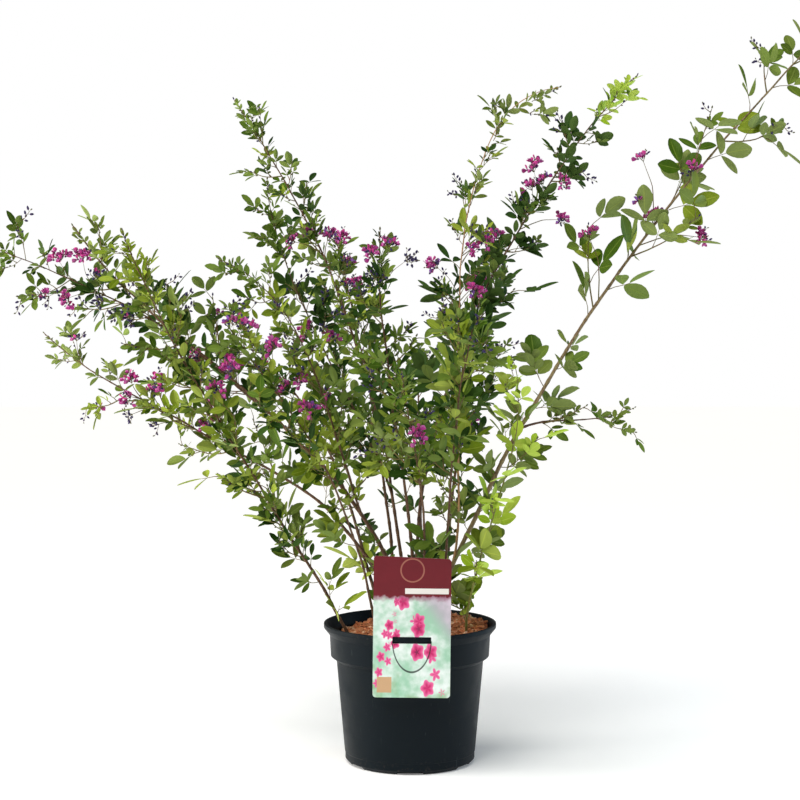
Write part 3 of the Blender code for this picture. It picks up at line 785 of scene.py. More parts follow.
def show(name: str, mesh: bpy.types.Mesh, slot: str, *finishes: Finish, nodes: Iterable[str] = (),
         smooth: float = 180.0) -> None:
    """Puts a finished mesh in the scene as a piece that rides on the part.

    Args:
        name: The piece's name.
        mesh: Its mesh, already in place.
        slot: The record's material slot; not used.
        finishes: Its finish, or one for each of the mesh's materials.
        nodes: The nodes that it stands for.
        smooth: The angle in degrees from which its edges stay sharp.
    """
    for finish in finishes:
        mesh.materials.append(finish.build())
    mesh.shade_smooth()
    if smooth < 180:
        mesh.set_sharp_from_angle(angle=math.radians(smooth))
    piece = linked(name, mesh)
    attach(piece, "root")
    if nodes:
        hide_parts(*nodes)
    LOG.info("%s: %d faces", name, len(mesh.polygons))


def bent(mesh: bpy.types.Mesh) -> bpy.types.Mesh:
    """Bends a mesh of the crown with one slow ripple through the whole plant, so that no limb runs straight.

    Args:
        mesh: The mesh, changed in place.

    Returns:
        The same mesh.
    """
    places = np.empty(len(mesh.vertices) * 3, np.float32)
    mesh.vertices.foreach_get("co", places)
    rows = places.reshape(-1, 3)
    low, span = BEND_FOOT
    amounts = BEND * np.clip((rows[:, 2] - low) / span, 0.0, 1.0)
    shifts = np.array([noise.noise_vector(Vector(row) / BEND_LENGTH) for row in rows])
    rows += shifts * amounts[:, None]
    mesh.vertices.foreach_set("co", rows.ravel())
    mesh.update()
    return mesh


def sealed(bm: bmesh.types.BMesh) -> bmesh.types.BMesh:
    """Merges a closed shape's doubles and turns its faces outward.

    Args:
        bm: The shape, changed in place.

    Returns:
        The same shape.
    """
    bmesh.ops.remove_doubles(bm, verts=bm.verts, dist=WELD)
    bmesh.ops.recalc_face_normals(bm, faces=bm.faces)
    return bm


def ended(bm: bmesh.types.BMesh, name: str) -> bpy.types.Mesh:
    """Ends a shape as a mesh.

    Args:
        bm: The shape.
        name: The mesh's name.

    Returns:
        The mesh.
    """
    mesh = bpy.data.meshes.new(name)
    bm.to_mesh(mesh)
    bm.free()
    return mesh


def baked(guide: bpy.types.Object) -> bmesh.types.BMesh:
    """Takes the shape that a curve or an object's modifiers make, and removes the object.

    Args:
        guide: The object.

    Returns:
        The shape.
    """
    graph = bpy.context.evaluated_depsgraph_get()
    mesh = bpy.data.meshes.new_from_object(guide.evaluated_get(graph), depsgraph=graph)
    bpy.data.batch_remove((guide, guide.data))
    bm = bmesh.new()
    bm.from_mesh(mesh)
    bpy.data.meshes.remove(mesh)
    return bm


def revolved(profile: Sequence[tuple[float, float]], steps: int) -> bmesh.types.BMesh:
    """Spins a section once round the pot's middle.

    Args:
        profile: Its radii and heights.
        steps: The number of steps round.

    Returns:
        The closed shape.
    """
    bm = bmesh.new()
    verts = [bm.verts.new((radius, 0.0, height)) for radius, height in profile]
    edges = [bm.edges.new(pair) for pair in zip(verts, verts[1:])]
    bmesh.ops.spin(bm, geom=verts + edges, cent=(0, 0, 0), axis=(0, 0, 1), angle=math.tau, steps=steps,
                   use_merge=True)
    return bm


def traced(curve: bpy.types.Curve, points: Sequence[Vector]) -> bpy.types.Spline:
    """Adds a spline of straight steps to a curve.

    Args:
        curve: The curve.
        points: Its points.

    Returns:
        The spline.
    """
    spline = curve.splines.new("POLY")
    spline.points.add(len(points) - 1)
    spline.points.foreach_set("co", [value for point in points for value in (*point, 1.0)])
    return spline


class Path:
    """A tapering limb's axis: its points, with the limb's radius at each."""

    def __init__(self, points: Sequence[Vector], radii: Sequence[float] = ()) -> None:
        """Measures the lengths from the first point to each.

        Args:
            points: The points.
            radii: The radii, or none where only the axis counts.
        """
        self.points = list(points)
        self.radii = list(radii) or [0.0] * len(self.points)
        self.lengths = [0.0]
        for before, after in zip(self.points, self.points[1:]):
            self.lengths.append(self.lengths[-1] + (after - before).length)
        self.length = self.lengths[-1]

    def at(self, share: float) -> tuple[Vector, Vector, float]:
        """Looks up a place on the limb.

        Args:
            share: The share of its length.

        Returns:
            The point, direction and radius there.
        """
        goal = share * self.length
        index = min(bisect_right(self.lengths, goal), len(self.points) - 1) - 1
        start, end = self.points[index], self.points[index + 1]
        part = (goal - self.lengths[index]) / (end - start).length
        radius = self.radii[index] + (self.radii[index + 1] - self.radii[index]) * part
        return start.lerp(end, part), (end - start).normalized(), radius


class Batch:
    """Small shapes of one finish that become one piece, which stands for the nodes that they grew in."""

    def __init__(self, name: str) -> None:
        """Starts with no node."""
        self.name = name
        self.nodes: set[str] = set()

    def mesh(self) -> bpy.types.Mesh:
        """Ends the shapes as one mesh."""
        raise NotImplementedError

    def piece(self, slot: str, finish: Finish, smooth: float = 180.0) -> None:
        """Ends the shapes as a piece."""
        mesh = bent(self.mesh()) if self.nodes else self.mesh()
        show(self.name, mesh, slot, finish, nodes=sorted(self.nodes), smooth=smooth)


class Limbs(Batch):
    """Round tapering limbs, joined into one closed mesh."""

    def __init__(self, name: str, roundness: int = 0, relief: float = 0.0) -> None:
        """Starts the limbs' curve.

        Args:
            name: The piece's name.
            roundness: The extra steps in a quarter of the section.
            relief: How far the skin's streaks stand proud.
        """
        super().__init__(name)
        self.relief = relief
        self.curve = bpy.data.curves.new(name, "CURVE")
        self.curve.dimensions = "3D"
        self.curve.bevel_depth = 1.0
        self.curve.bevel_resolution = roundness
        self.curve.use_fill_caps = True

    def add(self, points: Sequence[Vector], radii: Sequence[float], *nodes: str) -> None:
        """Adds one limb along some points, in the nodes that it stands for."""
        traced(self.curve, points).points.foreach_set("radius", radii)
        self.nodes.update(nodes)

    def mesh(self) -> bpy.types.Mesh:
        """Makes the limbs one mesh, with the streaks of their skin.

        Returns:
            The mesh.
        """
        bm = sealed(baked(linked(self.name, self.curve)))
        if self.relief:
            bm.normal_update()
            for vert in bm.verts:
                streak = noise.noise(Vector((vert.co.x * 900, vert.co.y * 900, vert.co.z * 130)))
                vert.co += vert.normal * streak * self.relief
        return ended(bm, self.name)


class Gathering(Batch):
    """Placed copies of small meshes, joined into one mesh."""

    def __init__(self, name: str) -> None:
        """Starts empty."""
        super().__init__(name)
        self.bm = bmesh.new()

    def place(self, template: bpy.types.Mesh, frame: Matrix, *nodes: str) -> None:
        """Adds one copy of a mesh.

        Args:
            template: The mesh.
            frame: Where the copy goes.
            nodes: The nodes that it stands for.
        """
        copy = template.copy()
        copy.transform(frame)
        self.bm.from_mesh(copy)
        bpy.data.meshes.remove(copy)
        self.nodes.update(nodes)

    def mesh(self) -> bpy.types.Mesh:
        """Ends the copies as one mesh."""
        return ended(self.bm, self.name)


@dataclass(frozen=True)
class Blade:
    """A leaflet's or petal's outline and bend, one unit long along +Y."""

    width: float
    widest: float
    point: float
    fold: float
    curl: float
    wave: float
    columns: int = 4
    rows: int = 8

    def mesh(self, tone: float = 0.0, phase: float = 0.0) -> bpy.types.Mesh:
        """Shapes a grid into the blade.

        Args:
            tone: The share of paler green that its finish mixes in.
            phase: Where its wave along the edge starts.

        Returns:
            An open mesh with an outline UV map and a tone attribute.
        """
        bm = bmesh.new()
        bm.loops.layers.uv.new("outline")
        bmesh.ops.create_grid(bm, x_segments=self.columns, y_segments=self.rows, size=0.5, calc_uvs=True)
        layer = bm.verts.layers.float.new("tone")
        power = math.log(0.5) / math.log(self.widest)
        for vert in bm.verts:
            across, share = 2 * vert.co.x, min(max(vert.co.y + 0.5, 0.0), 1.0)
            along = (1 - math.cos(math.pi * share)) / 2
            half = self.width / 2 * max(math.sin(math.pi * along ** power), 0.0) ** 0.62
            half *= 1 - self.point * along ** 6
            ripple = self.wave * across * math.sin(phase + 5.0 * along + 2.0 * across)
            height = abs(across) * half * 2 * self.fold + self.curl * along * along + ripple
            vert.co = Vector((across * half, along, height))
            vert[layer] = tone
        bmesh.ops.remove_doubles(bm, verts=bm.verts, dist=1e-4)
        return ended(bm, "blade")

    def shades(self) -> list[bpy.types.Mesh]:
        """The blade in every shade of its green."""
        return [self.mesh(shade / (SHADES - 1), 2.0 * self.width) for shade in range(SHADES)]


def bead(width: float) -> bpy.types.Mesh:
    """Makes a small egg, one unit long along +Y, with a UV map that runs along it.

    Args:
        width: Its width.

    Returns:
        The mesh.
    """
    bm = bmesh.new()
    layer = bm.loops.layers.uv.new("outline")
    bmesh.ops.create_icosphere(bm, subdivisions=1, radius=0.5)
    for vert in bm.verts:
        along = vert.co.z + 0.5
        taper = 1.15 - 0.4 * along
        vert.co = Vector((vert.co.x * width * taper, along, vert.co.y * width * taper))
    for face in bm.faces:
        for loop in face.loops:
            loop[layer].uv = (0.5, loop.vert.co.y)
    return ended(sealed(bm), "bead")


@dataclass(frozen=True)
class Cane:
    """One cane from its foot to its tip, as a curve with a handle at each end, with its look."""

    name: str
    foot: tuple
    rise: tuple
    tip: tuple
    reach: tuple
    radius: float = 0.0022
    bare: float = 0.42
    shoots: int = 5
    shoot_length: float = 0.075
    leaf: float = 1.0
    blossom: tuple = (0.3, 0.8)
    parent: str = ""
    bark: Bark = Bark.BROWN
    tones: tuple = (DEEP, MID, DEEP)
    slim: float = 1.0
    lush: float = 1.0
    bold: float = 1.0
    sprigs: float = 1.0
    taper: float = 0.45
    young: Tone = MID
    clumps: tuple = ()
    buds: tuple = ()


# Feet and tips in metres; a rise or a reach is the handle that bends the cane there. A clump of blossom
# or buds has its share of the leafy stem, and how far it stands to the stem's left as the cane is climbed
CANES = (
    Cane("low_left", (-0.012, 0.02), (-0.04, 0.02, 0.19), (-0.42, 0.12, 0.47), (-0.13, 0.04, 0.12), bare=0.34,
         shoots=6, blossom=(0.45, 0.8), tones=(FRESH, OLIVE, MID), slim=0.94, lush=0.6, bold=1.4, taper=0.75,
         young=OLIVE, clumps=((0.64, 0.002), (0.66, -0.012), (0.58, -0.01), (0.38, -0.004)),
         buds=((0.61, 0.018), (0.52, 0.014), (0.9, -0.018))),
    Cane("left_main", (-0.008, -0.008), (-0.008, 0.006, 0.2), (-0.372, 0.03, 0.59), (-0.112, 0.015, 0.16),
         radius=0.0028, bare=0.52, shoots=6, blossom=(0.1, 0.5), tones=(MID, DEEP, OLIVE, MID), slim=0.94,
         lush=0.7, bold=1.16, young=OLIVE,
         clumps=((0.29, 0.0), (0.17, -0.012), (0.15, 0.022), (0.33, -0.046))),
    Cane("far_left", (-0.155, 0.011), (-0.09, -0.02, 0.094), (-0.47, -0.09, 0.575), (-0.11, -0.04, 0.04),
         bare=0, shoots=6, blossom=(0.35, 0.85), parent="left_main", tones=(DEEP, MID), lush=0.6,
         clumps=((0.71, -0.013), (0.66, -0.024), (0.7, 0.024), (0.64, 0.016)),
         buds=((0.6, -0.012), (0.55, 0.004), (0.5, 0.01), (0.45, 0.006))),
    Cane("outer_left", (-0.064, -0.024), (-0.08, -0.032, 0.16), (-0.29, -0.17, 0.58), (-0.046, -0.056, 0.145),
         radius=0.0018, bare=0.16, shoots=7, shoot_length=0.062, blossom=(0.6, 0.8),
         tones=(FRESH, MID, DEEP, MID, OLIVE), slim=0.84, lush=1.5, bold=1.14, sprigs=2.6, young=FRESH,
         clumps=((0.54, -0.01), (0.62, 0.026))),
    Cane("inner_left", (-0.034, -0.04), (-0.034, -0.036, 0.184), (-0.19, -0.15, 0.486),
         (-0.096, -0.054, 0.132), radius=0.0016, shoots=4, blossom=(0.5, 0.9),
         tones=(MID, DEEP, FRESH, FRESH), lush=0.9, sprigs=0.5,
         clumps=((0.97, -0.006), (0.92, -0.012), (0.8, 0.018), (0.45, -0.016))),
    Cane("tall_left", (-0.002, 0.022), (-0.012, 0.028, 0.215), (-0.204, 0.16, 0.74), (-0.133, 0.055, 0.193),
         shoots=6, shoot_length=0.06, blossom=(0.1, 0.4), tones=(MID, DEEP, MID, FRESH), slim=0.92, lush=1.15,
         sprigs=0.5, clumps=((0.51, 0.0), (0.47, -0.012), (0.51, 0.022), (0.31, -0.01)),
         buds=((0.38, -0.018),)),
    Cane("side_left", (-0.038, 0.03), (-0.036, -0.018, 0.095), (-0.15, -0.06, 0.636), (0.001, -0.035, 0.099),
         bare=0, shoot_length=0.06, blossom=(0.2, 0.7), parent="tall_left", tones=(MID, DEEP),
         clumps=((0.54, 0.004), (0.49, -0.012), (0.32, 0.016))),
    Cane("short_left", (-0.05, -0.005), (-0.037, -0.06, 0.098), (-0.187, -0.23, 0.55), (-0.09, -0.076, 0.034),
         bare=0, parent="left_main", tones=(MID, FRESH), slim=0.9, clumps=((0.64, 0.024), (0.5, 0.01))),
    Cane("left_back", (-0.03, 0.036), (-0.04, 0.04, 0.18), (-0.2, 0.26, 0.47), (-0.08, 0.11, 0.08), bare=0.4,
         sprigs=0.6, clumps=((0.8, -0.014), (0.56, 0.0), (0.38, -0.002))),
    Cane("back_left", (-0.014, 0.048), (-0.01, 0.05, 0.19), (-0.09, 0.25, 0.586), (-0.035, 0.08, 0.15),
         bare=0.4, blossom=(0.4, 0.95), sprigs=0.5, clumps=((0.97, -0.005), (0.85, -0.003), (0.75, -0.004))),
    Cane("back", (0.012, 0.052), (0.004, 0.07, 0.17), (0.012, 0.285, 0.45), (0.002, 0.12, 0.09), bare=0.4,
         sprigs=0.3),
    Cane("back_right", (0.036, 0.04), (0.014, 0.05, 0.2), (0.112, 0.26, 0.58), (0.04, 0.08, 0.14), bare=0.38,
         sprigs=0.4, clumps=((0.14, -0.01), (0.7, 0.0))),
    Cane("mid", (0.002, -0.01), (0.009, -0.022, 0.16), (-0.032, -0.13, 0.582), (0.008, -0.05, 0.14),
         shoot_length=0.06, blossom=(0.5, 0.9), tones=(DEEP, MID, DEEP, FRESH), slim=0.9, sprigs=0.3,
         clumps=((0.94, -0.006), (0.9, 0.006)), buds=((0.87, -0.026),)),
    Cane("front", (0.016, -0.036), (0.004, -0.05, 0.17), (-0.01, -0.26, 0.442), (-0.01, -0.11, 0.07),
         radius=0.0018, bare=0.45, shoots=4, tones=(DEEP, OLIVE, DEEP, FRESH), slim=0.88, sprigs=0.3,
         clumps=((0.44, -0.002),)),
    Cane("front_right", (0.034, -0.03), (0.006, -0.04, 0.18), (0.066, -0.25, 0.512), (0.02, -0.09, 0.1),
         radius=0.0018, blossom=(0.6, 0.9), tones=(MID, FRESH, MID, DEEP), slim=0.98, lush=0.85, bold=1.22,
         sprigs=0.6),
    Cane("high_right", (0.01, 0.018), (-0.018, 0.036, 0.229), (0.268, 0.19, 0.773), (0.173, 0.066, 0.183),
         bare=0.38, shoots=7, shoot_length=0.06, leaf=1.05, blossom=(0.35, 0.8), tones=(DEEP, DEEP, MID),
         slim=1.12, bold=1.35, taper=0.75, young=LIME,
         clumps=((0.27, 0.01), (0.41, 0.016), (0.61, 0.022), (0.6, 0.006), (0.63, -0.006), (0.57, 0.012),
                 (0.54, -0.032))),
    Cane("long_right", (0.018, -0.01), (0.085, 0.006, 0.245), (0.49, 0.02, 0.832), (0.2, 0.011, 0.174),
         radius=0.0028, shoots=7, shoot_length=0.085, leaf=1.3, blossom=(0.35, 0.8), bark=Bark.OLIVE,
         tones=(OLIVE, MID, FRESH, OLIVE), slim=1.16, lush=0.0, sprigs=2.0, taper=0.0, young=OLIVE,
         clumps=((0.22, 0.05), (0.42, 0.052), (0.35, 0.025), (0.34, 0.005), (0.46, 0.003), (0.36, -0.045))),
    Cane("upright", (0.046, -0.006), (0.019, -0.008, 0.11), (0.154, -0.08, 0.731), (0.148, -0.015, 0.01),
         bare=0, shoots=7, shoot_length=0.055, blossom=(0.45, 0.7), parent="long_right", bark=Bark.RUSSET,
         tones=(OLIVE, DEEP, FRESH, DEEP), slim=0.78, lush=0.9, bold=1.15, taper=0.6, young=OLIVE,
         clumps=((0.57, 0.025), (0.61, -0.007), (0.63, -0.017), (0.53, -0.012))),
    Cane("side_right", (0.12, 0.004), (0.034, 0.02, 0.012), (0.257, 0.092, 0.386), (0.049, 0.038, 0.02),
         bare=0, shoots=2, shoot_length=0.05, leaf=0.7, blossom=(0, 0), parent="long_right", lush=0.3,
         bold=1.2, tones=(MID, OLIVE)),
    Cane("right_low", (0.06, -0.036), (0.002, -0.02, 0.09), (0.099, -0.19, 0.452), (-0.038, -0.038, 0.055),
         radius=0.0014, bare=0.1, shoots=4, shoot_length=0.05, blossom=(0, 0), bark=Bark.GREEN,
         tones=(LIME, LIME, LIME, FRESH), slim=1.2, bold=1.18, lush=0.0, young=LIME),
)


def curve_points(foot: Vector, cane: Cane) -> list[Vector]:
    """The cane's axis from its foot to its tip, as closely spaced points."""
    tip = Vector(cane.tip)
    return interpolate_bezier(foot, foot + Vector(cane.rise), tip - Vector(cane.reach), tip, FINE_POINTS)


def stretch(points: Sequence[Vector], start: float, end: float, count: int) -> list[Vector]:
    """Evenly spaced points along a fine curve, from one share of its length to another."""
    path = Path(points)
    return [path.at(start + (end - start) * i / count)[0] for i in range(count + 1)]


def tapered(points: Sequence[Vector], radius: float, start: float, end: float) -> Path:
    """Gives a limb's points the radii of their stretch of a cane.

    Args:
        points: The points.
        radius: The cane's radius at its foot.
        start: The share of the cane where they start.
        end: The share where they end.

    Returns:
        The limb.
    """
    path = Path(points)
    shares = [start + (end - start) * length / path.length for length in path.lengths]
    path.radii = [radius * (1 - (1 - TIP_SHARE) * share) for share in shares]
    return path


def blocked(point: Vector) -> bool:
    """Whether a point is too near the pot's rim or the hanging card.

    Args:
        point: The point.

    Returns:
        True where it is.
    """
    by_card = (abs(point.x - CARD_MIDDLE) < CARD_WIDTH / 2 + LABEL_CLEARANCE
               and abs(point.y - CARD_FRONT) < LABEL_CLEARANCE and point.z < CARD_TOP + LABEL_CLEARANCE)
    return by_card or point.z < POT_HEIGHT + RIM_CLEARANCE


class Spaces:
    """Who owns each place in the crown: the limb whose axis lies nearest."""

    def __init__(self) -> None:
        """Starts with no limb."""
        self.names: list[str] = []
        self.places = np.empty((0, 3))
        self.radii = np.empty(0)
        self.owners = np.empty(0, int)

    def add(self, name: str, path: Path) -> None:
        """Adds a limb.

        Args:
            name: Its name.
            path: Its axis.
        """
        count = max(2, math.ceil(path.length / AXIS_STEP))
        rows = [path.at(i / count) for i in range(count + 1)]
        self.places = np.vstack([self.places, [point for point, _, _ in rows]])
        self.radii = np.append(self.radii, [radius for _, _, radius in rows])
        self.owners = np.append(self.owners, [len(self.names)] * len(rows))
        self.names.append(name)

    def free(self, points: Sequence[Vector], name: str = "", slack: float = 0.0) -> bool:
        """Whether points have room.

        Args:
            points: The points to test.
            name: The mass whose space they keep to, or nothing where they only keep clear of bark.
            slack: How far into a neighbour's space they may lie; bark is kept clear all the same.

        Returns:
            True where all of them do.
        """
        if any(blocked(point) for point in points):
            return False
        away = np.linalg.norm(np.array(points)[:, None] - self.places, axis=2)
        if not name:
            return bool((away - self.radii > LIMB_MARGIN).all())
        mine = self.owners == self.names.index(name)
        kept = np.maximum(away[:, mine].min(axis=1) + SPACE_MARGIN - slack, 0.0) + LIMB_MARGIN
        return bool(((away - self.radii)[:, ~mine].min(axis=1) > kept).all())


class Kit:
    """The small shapes that the crown repeats, and the batches that its growth is gathered in."""

    def __init__(self) -> None:
        """Makes every leaflet in every shade, the parts of a flower, and a batch for each kind and colour."""
        dice = random.Random("leaflet shapes")
        self.leaflets: list[list[bpy.types.Mesh]] = []
        self.young: list[list[bpy.types.Mesh]] = []
        for _ in range(SHAPES):
            blade = Blade(width=dice.uniform(0.44, 0.54), widest=dice.uniform(0.5, 0.6),
                          point=dice.uniform(0.0, 0.12), fold=dice.uniform(0.05, 0.3),
                          curl=dice.uniform(-0.18, 0.06), wave=dice.uniform(0.005, 0.02))
            self.leaflets.append(blade.shades())
            self.young.append(replace(blade, columns=2, rows=6).shades())
        self.banner = Blade(0.84, 0.62, 0.0, 0.45, 0.3, 0.03, 4, 5).mesh()
        self.wing = Blade(0.55, 0.62, 0.0, 0.1, -0.2, 0.0, 2, 4).mesh()
        self.keel = Blade(0.66, 0.6, 0.0, 0.9, 0.22, 0.0, 2, 4).mesh()
        self.bud = bead(0.56)
        self.calyx = bead(0.9)
        self.leaves = {(tone, side): Gathering(f"leaves_{tone.value}_{side.value}")
                       for tone in Tone for side in Side}
        self.petals = {petal: Gathering(petal.value) for petal in Petal}
        self.twigs = Limbs("twigs_green")


class Mass:
    """One mass of leaf, grown by the source's rule and then filled with finer growth."""

    def __init__(self, cane: Cane, path: Path, spaces: Spaces, kit: Kit) -> None:
        """Takes what the mass grows on, in and from.

        Args:
            cane: The cane.
            path: Its leafy stem.
            spaces: The crown's spaces.
            kit: The shapes and batches.
        """
        self.cane, self.path, self.spaces, self.kit = cane, path, spaces, kit
        self.random = random.Random(cane.name)
        self.fine = random.Random(cane.name + " fine")
        self.node = f"foliage_{cane.name}"
        self.tone = self.shown = cane.tones[0]
        self.stray = STRAY_TONE
        self.side = Side.of(cane.tip)
        self.reduced = 1.0

    def enter(self, share: float) -> None:
        """Draws a spray's green, the young one near the cane's tip, and sets how small its leaves are.

        Args:
            share: The spray's place along the stem.
        """
        young = share >= YOUNG_FROM
        self.tone = self.cane.young if young else self.fine.choice(self.cane.tones)
        self.stray = YOUNG_STRAY if young else STRAY_TONE
        self.reduced = 1.05 - self.cane.taper * share

    def pick_tone(self) -> None:
        """Draws the next leaf's green: mostly the spray's own."""
        stray = self.fine.random() < self.stray
        self.shown = self.fine.choice(self.cane.tones) if stray else self.tone

    def flowering(self, share: float) -> bool:
        """Whether shoots bear blossom at a place along the stem."""
        return self.cane.blossom[0] <= share <= self.cane.blossom[1]

    def twig(self, points: Sequence[Vector], radii: Sequence[float]) -> None:
        """Adds a twig, stalk or pedicel."""
        self.kit.twigs.add(points, radii, self.node)

    def petal(self, kind: Petal, shape: bpy.types.Mesh, frame: Matrix, size: float) -> None:
        """Adds one part of a flower."""
        self.kit.petals[kind].place(shape, frame @ Matrix.Scale(size, 4), self.node)

    def leaflet(self, frame: Matrix, length: float, shapes: Sequence[Sequence[bpy.types.Mesh]]) -> None:
        """Adds one leaflet of a random shape and shade.

        Args:
            frame: Where it starts, with +Y along it and +Z out of its face.
            length: Its length.
            shapes: The shapes to draw from.
        """
        template = self.fine.choice(shapes)[self.fine.randrange(SHADES)]
        size = Matrix.Diagonal((length * self.cane.slim, length, length, 1.0))
        self.kit.leaves[self.shown, self.side].place(template, frame @ size, self.node)

    def has_room(self, frame: Matrix, outline: Sequence[tuple], width: float, length: float,
                 slack: float = 0.0) -> bool:
        """Whether a shape keeps to this mass's space.

        Args:
            frame: Where it stands.
            outline: The shares of its width and length at the points to test.
            width: Its width.
            length: Its length.
            slack: How far into a neighbour's space it may reach.

        Returns:
            True where it does.
        """
        spots = [frame @ Vector((x * width, y * length, 0)) for x, y in outline]
        return self.spaces.free(spots, self.cane.name, slack)

    def trifoliate(self, frame: Matrix, length: float) -> None:
        """A leaf of three leaflets on a stalk that arches a little.

        Args:
            frame: Where the stalk leaves its limb, with +Y along the leaf and +Z out of its face.
            length: From there to the middle leaflet's tip.
        """
        dice = self.fine
        length *= self.cane.bold
        self.pick_tone()
        root, along, face = frame.translation.copy(), frame.col[1].xyz, frame.col[2].xyz
        outward = Vector((root.x, root.y, 0.0))
        if outward.length > 0.01:
            face = face + outward.normalized() * dice.uniform(0.0, 0.9)
        face = face + FRONT * dice.uniform(-0.2, 0.7) + around(along, dice.uniform(0, math.tau)) * 0.4
        face = (face - along * face.dot(along)).normalized()
        joint = root + along * length * STALK_SHARE + face * length * 0.02
        bend = root + along * length * (STALK_SHARE / 2) + face * length * 0.03
        stalk = joint + along * length * LEAFLET_STALK
        self.twig([root, bend, joint], STALK_RADII)
        self.twig([joint, stalk], LEAFLET_STALK_RADII)
        spread = math.radians(dice.uniform(*LEAFLET_SPREAD))
        for yaw, scale in ((0.0, 1.0), (spread, SIDE_LEAFLET), (-spread, SIDE_LEAFLET)):
            way = turned(along, face, yaw + math.radians(dice.uniform(*LEAFLET_YAW)))
            way = turned(way, along.cross(face), math.radians(dice.uniform(*LEAFLET_DROOP)))
            lift = turned(face, way, math.radians(dice.uniform(*LEAFLET_ROLL)))
            start = stalk if yaw == 0.0 else joint + way * length * 0.02
            size = length * LEAFLET_SHARE * scale * dice.uniform(0.9, 1.1)
            self.leaflet(placed(start, way, lift), size, self.kit.leaflets)

    def small_leaf(self, point: Vector, ahead: Vector, angle: float, length: float) -> None:
        """A young leaf of three folded leaflets almost without a stalk.

        Args:
            point: Where it stands on its limb.
            ahead: The limb's direction.
            angle: Round the limb, from its upper side.
            length: Its length.
        """
        dice = self.fine
        length *= self.cane.leaf
        self.pick_tone()
        out = around(ahead, angle)
        along = (ahead + out * dice.uniform(0.4, 0.9)).normalized()
        face = (ahead * 0.6 - out * 0.4 + UP * 0.5 + FRONT * dice.uniform(-0.3, 0.6)).normalized()
        face = (face - along * face.dot(along)).normalized()
        joint = point + along * length * YOUNG_STALK
        self.twig([point, joint], YOUNG_STALK_RADII)
        for yaw, scale in ((0.0, 1.0), (1.0, YOUNG_SIDE), (-1.0, YOUNG_SIDE)):
            way = turned(along, face, yaw + dice.uniform(-0.15, 0.15))
            lift = turned(face, way, dice.uniform(-0.5, 0.5))
            start = joint + way * length * (0.12 if yaw == 0.0 else 0.0)
            self.leaflet(placed(start, way, lift), length * YOUNG_SHARE * scale, self.kit.young)

    def leaf(self, limb: Path, share: float, angle: float, size: float) -> None:
        """One of the source's leaves, where it has room.

        Args:
            limb: What it grows on.
            share: Where on the limb.
            angle: Round the limb, from its upper side.
            size: Its size beside the common one.
        """
        point, ahead, _ = limb.at(share)
        spread = math.radians(self.random.uniform(*LEAF_SPREAD))
        length = LEAF_LENGTH * size * self.random.uniform(*LEAF_LENGTHS)
        tilt = self.random.uniform(-LEAF_TILT, LEAF_TILT)
        for out in fan(ahead, angle, TURNS):
            along = leaning(ahead, out, spread) + UP * LEAF_LIFT
            frame = placed(point, along, UP + ahead * 0.5 + out.cross(ahead) * tilt)
            if self.has_room(frame, LEAF_OUTLINE, LEAF_WIDTH * size / 2, length):
                self.trifoliate(frame, length * self.reduced)
                return

    def fine_leaf(self, limb: Path, share: float, angle: float, size: float) -> None:
        """One finer leaf, where it has room.

        Args:
            limb: What it grows on.
            share: Where on the limb.
            angle: Round the limb, from its upper side.
            size: Its length beside the source's leaf.
        """
        point, ahead, _ = limb.at(share)
        spread = math.radians(self.fine.uniform(*FINE_SPREAD))
        length = LEAF_LENGTH * size * self.fine.uniform(0.8, 1.1)
        for out in fan(ahead, angle, FINE_TURNS):
            frame = placed(point, leaning(ahead, out, spread) + UP * LEAF_LIFT, UP + ahead * 0.5)
            if self.has_room(frame, FINE_OUTLINE, length, length, FINE_SLACK):
                self.trifoliate(frame, length)
                return

    def flower(self, limb: Path, share: float, angle: float) -> None:
        """A raceme in the place of one of the source's clusters, where it has room.

        Args:
            limb: What it grows on.
            share: Where on the limb.
            angle: Round the limb, from its upper side.
        """
        point, ahead, _ = limb.at(share)
        for out in fan(ahead, angle, TURNS):
            along = (out + ahead * FLOWER_REACH).normalized()
            if self.has_room(placed(point, along, UP), FLOWER_OUTLINE, FLOWER_WIDTH, FLOWER_LENGTH):
                length, opened = self.fine.uniform(*RACEME_LENGTHS), self.fine.choice((0.0, 0.5))
                self.raceme(point, along, length, opened, STRAY_BLOOM)
                return

    def raceme(self, root: Vector, along: Vector, length: float, opened: float, chance: float) -> None:
        """A thin stalk of flowers that opens from its foot up.

        Args:
            root: Where it leaves its limb.
            along: Its direction.
            length: Its length.
            opened: The share of it where flowers open.
            chance: How many of the places there hold an open flower.
        """
        dice, bud = self.fine, self.kit.bud
        points = forked(root, along, (along + UP * 0.5).normalized(), length)
        self.twig(points, RACEME_RADII)
        stalk = Path(points)
        leafless = 1 - RACEME_BARE
        count = max(3, round(leafless * length / RACEME_GAP))
        for index in range(count):
            share = RACEME_BARE + leafless * index / (count - 1)
            point, ahead, _ = stalk.at(share)
            out = around(ahead, index * GOLDEN_ANGLE + dice.uniform(-0.4, 0.4))
            foot = point + (out + ahead * 0.5).normalized() * PEDICEL
            facing = (out + ahead * 0.25 + UP * 0.1).normalized()
            blooms = share < opened and dice.random() < chance
            if blooms or share < RACEME_BUDS_END:
                self.twig([point, foot], PEDICEL_RADII)
            if blooms:
                self.blossom(foot, facing, dice.uniform(*FLOWER_SIZES), dice.random() < FADED_BLOOM)
            elif share < RACEME_BUDS_END:
                self.petal(Petal.BUD, bud, placed(foot, facing + ahead * 0.5, UP), dice.uniform(*BUD_SIZES))
            else:
                self.petal(Petal.TIP, bud, placed(point, facing + ahead, UP), dice.uniform(*SMALL_BUD_SIZES))

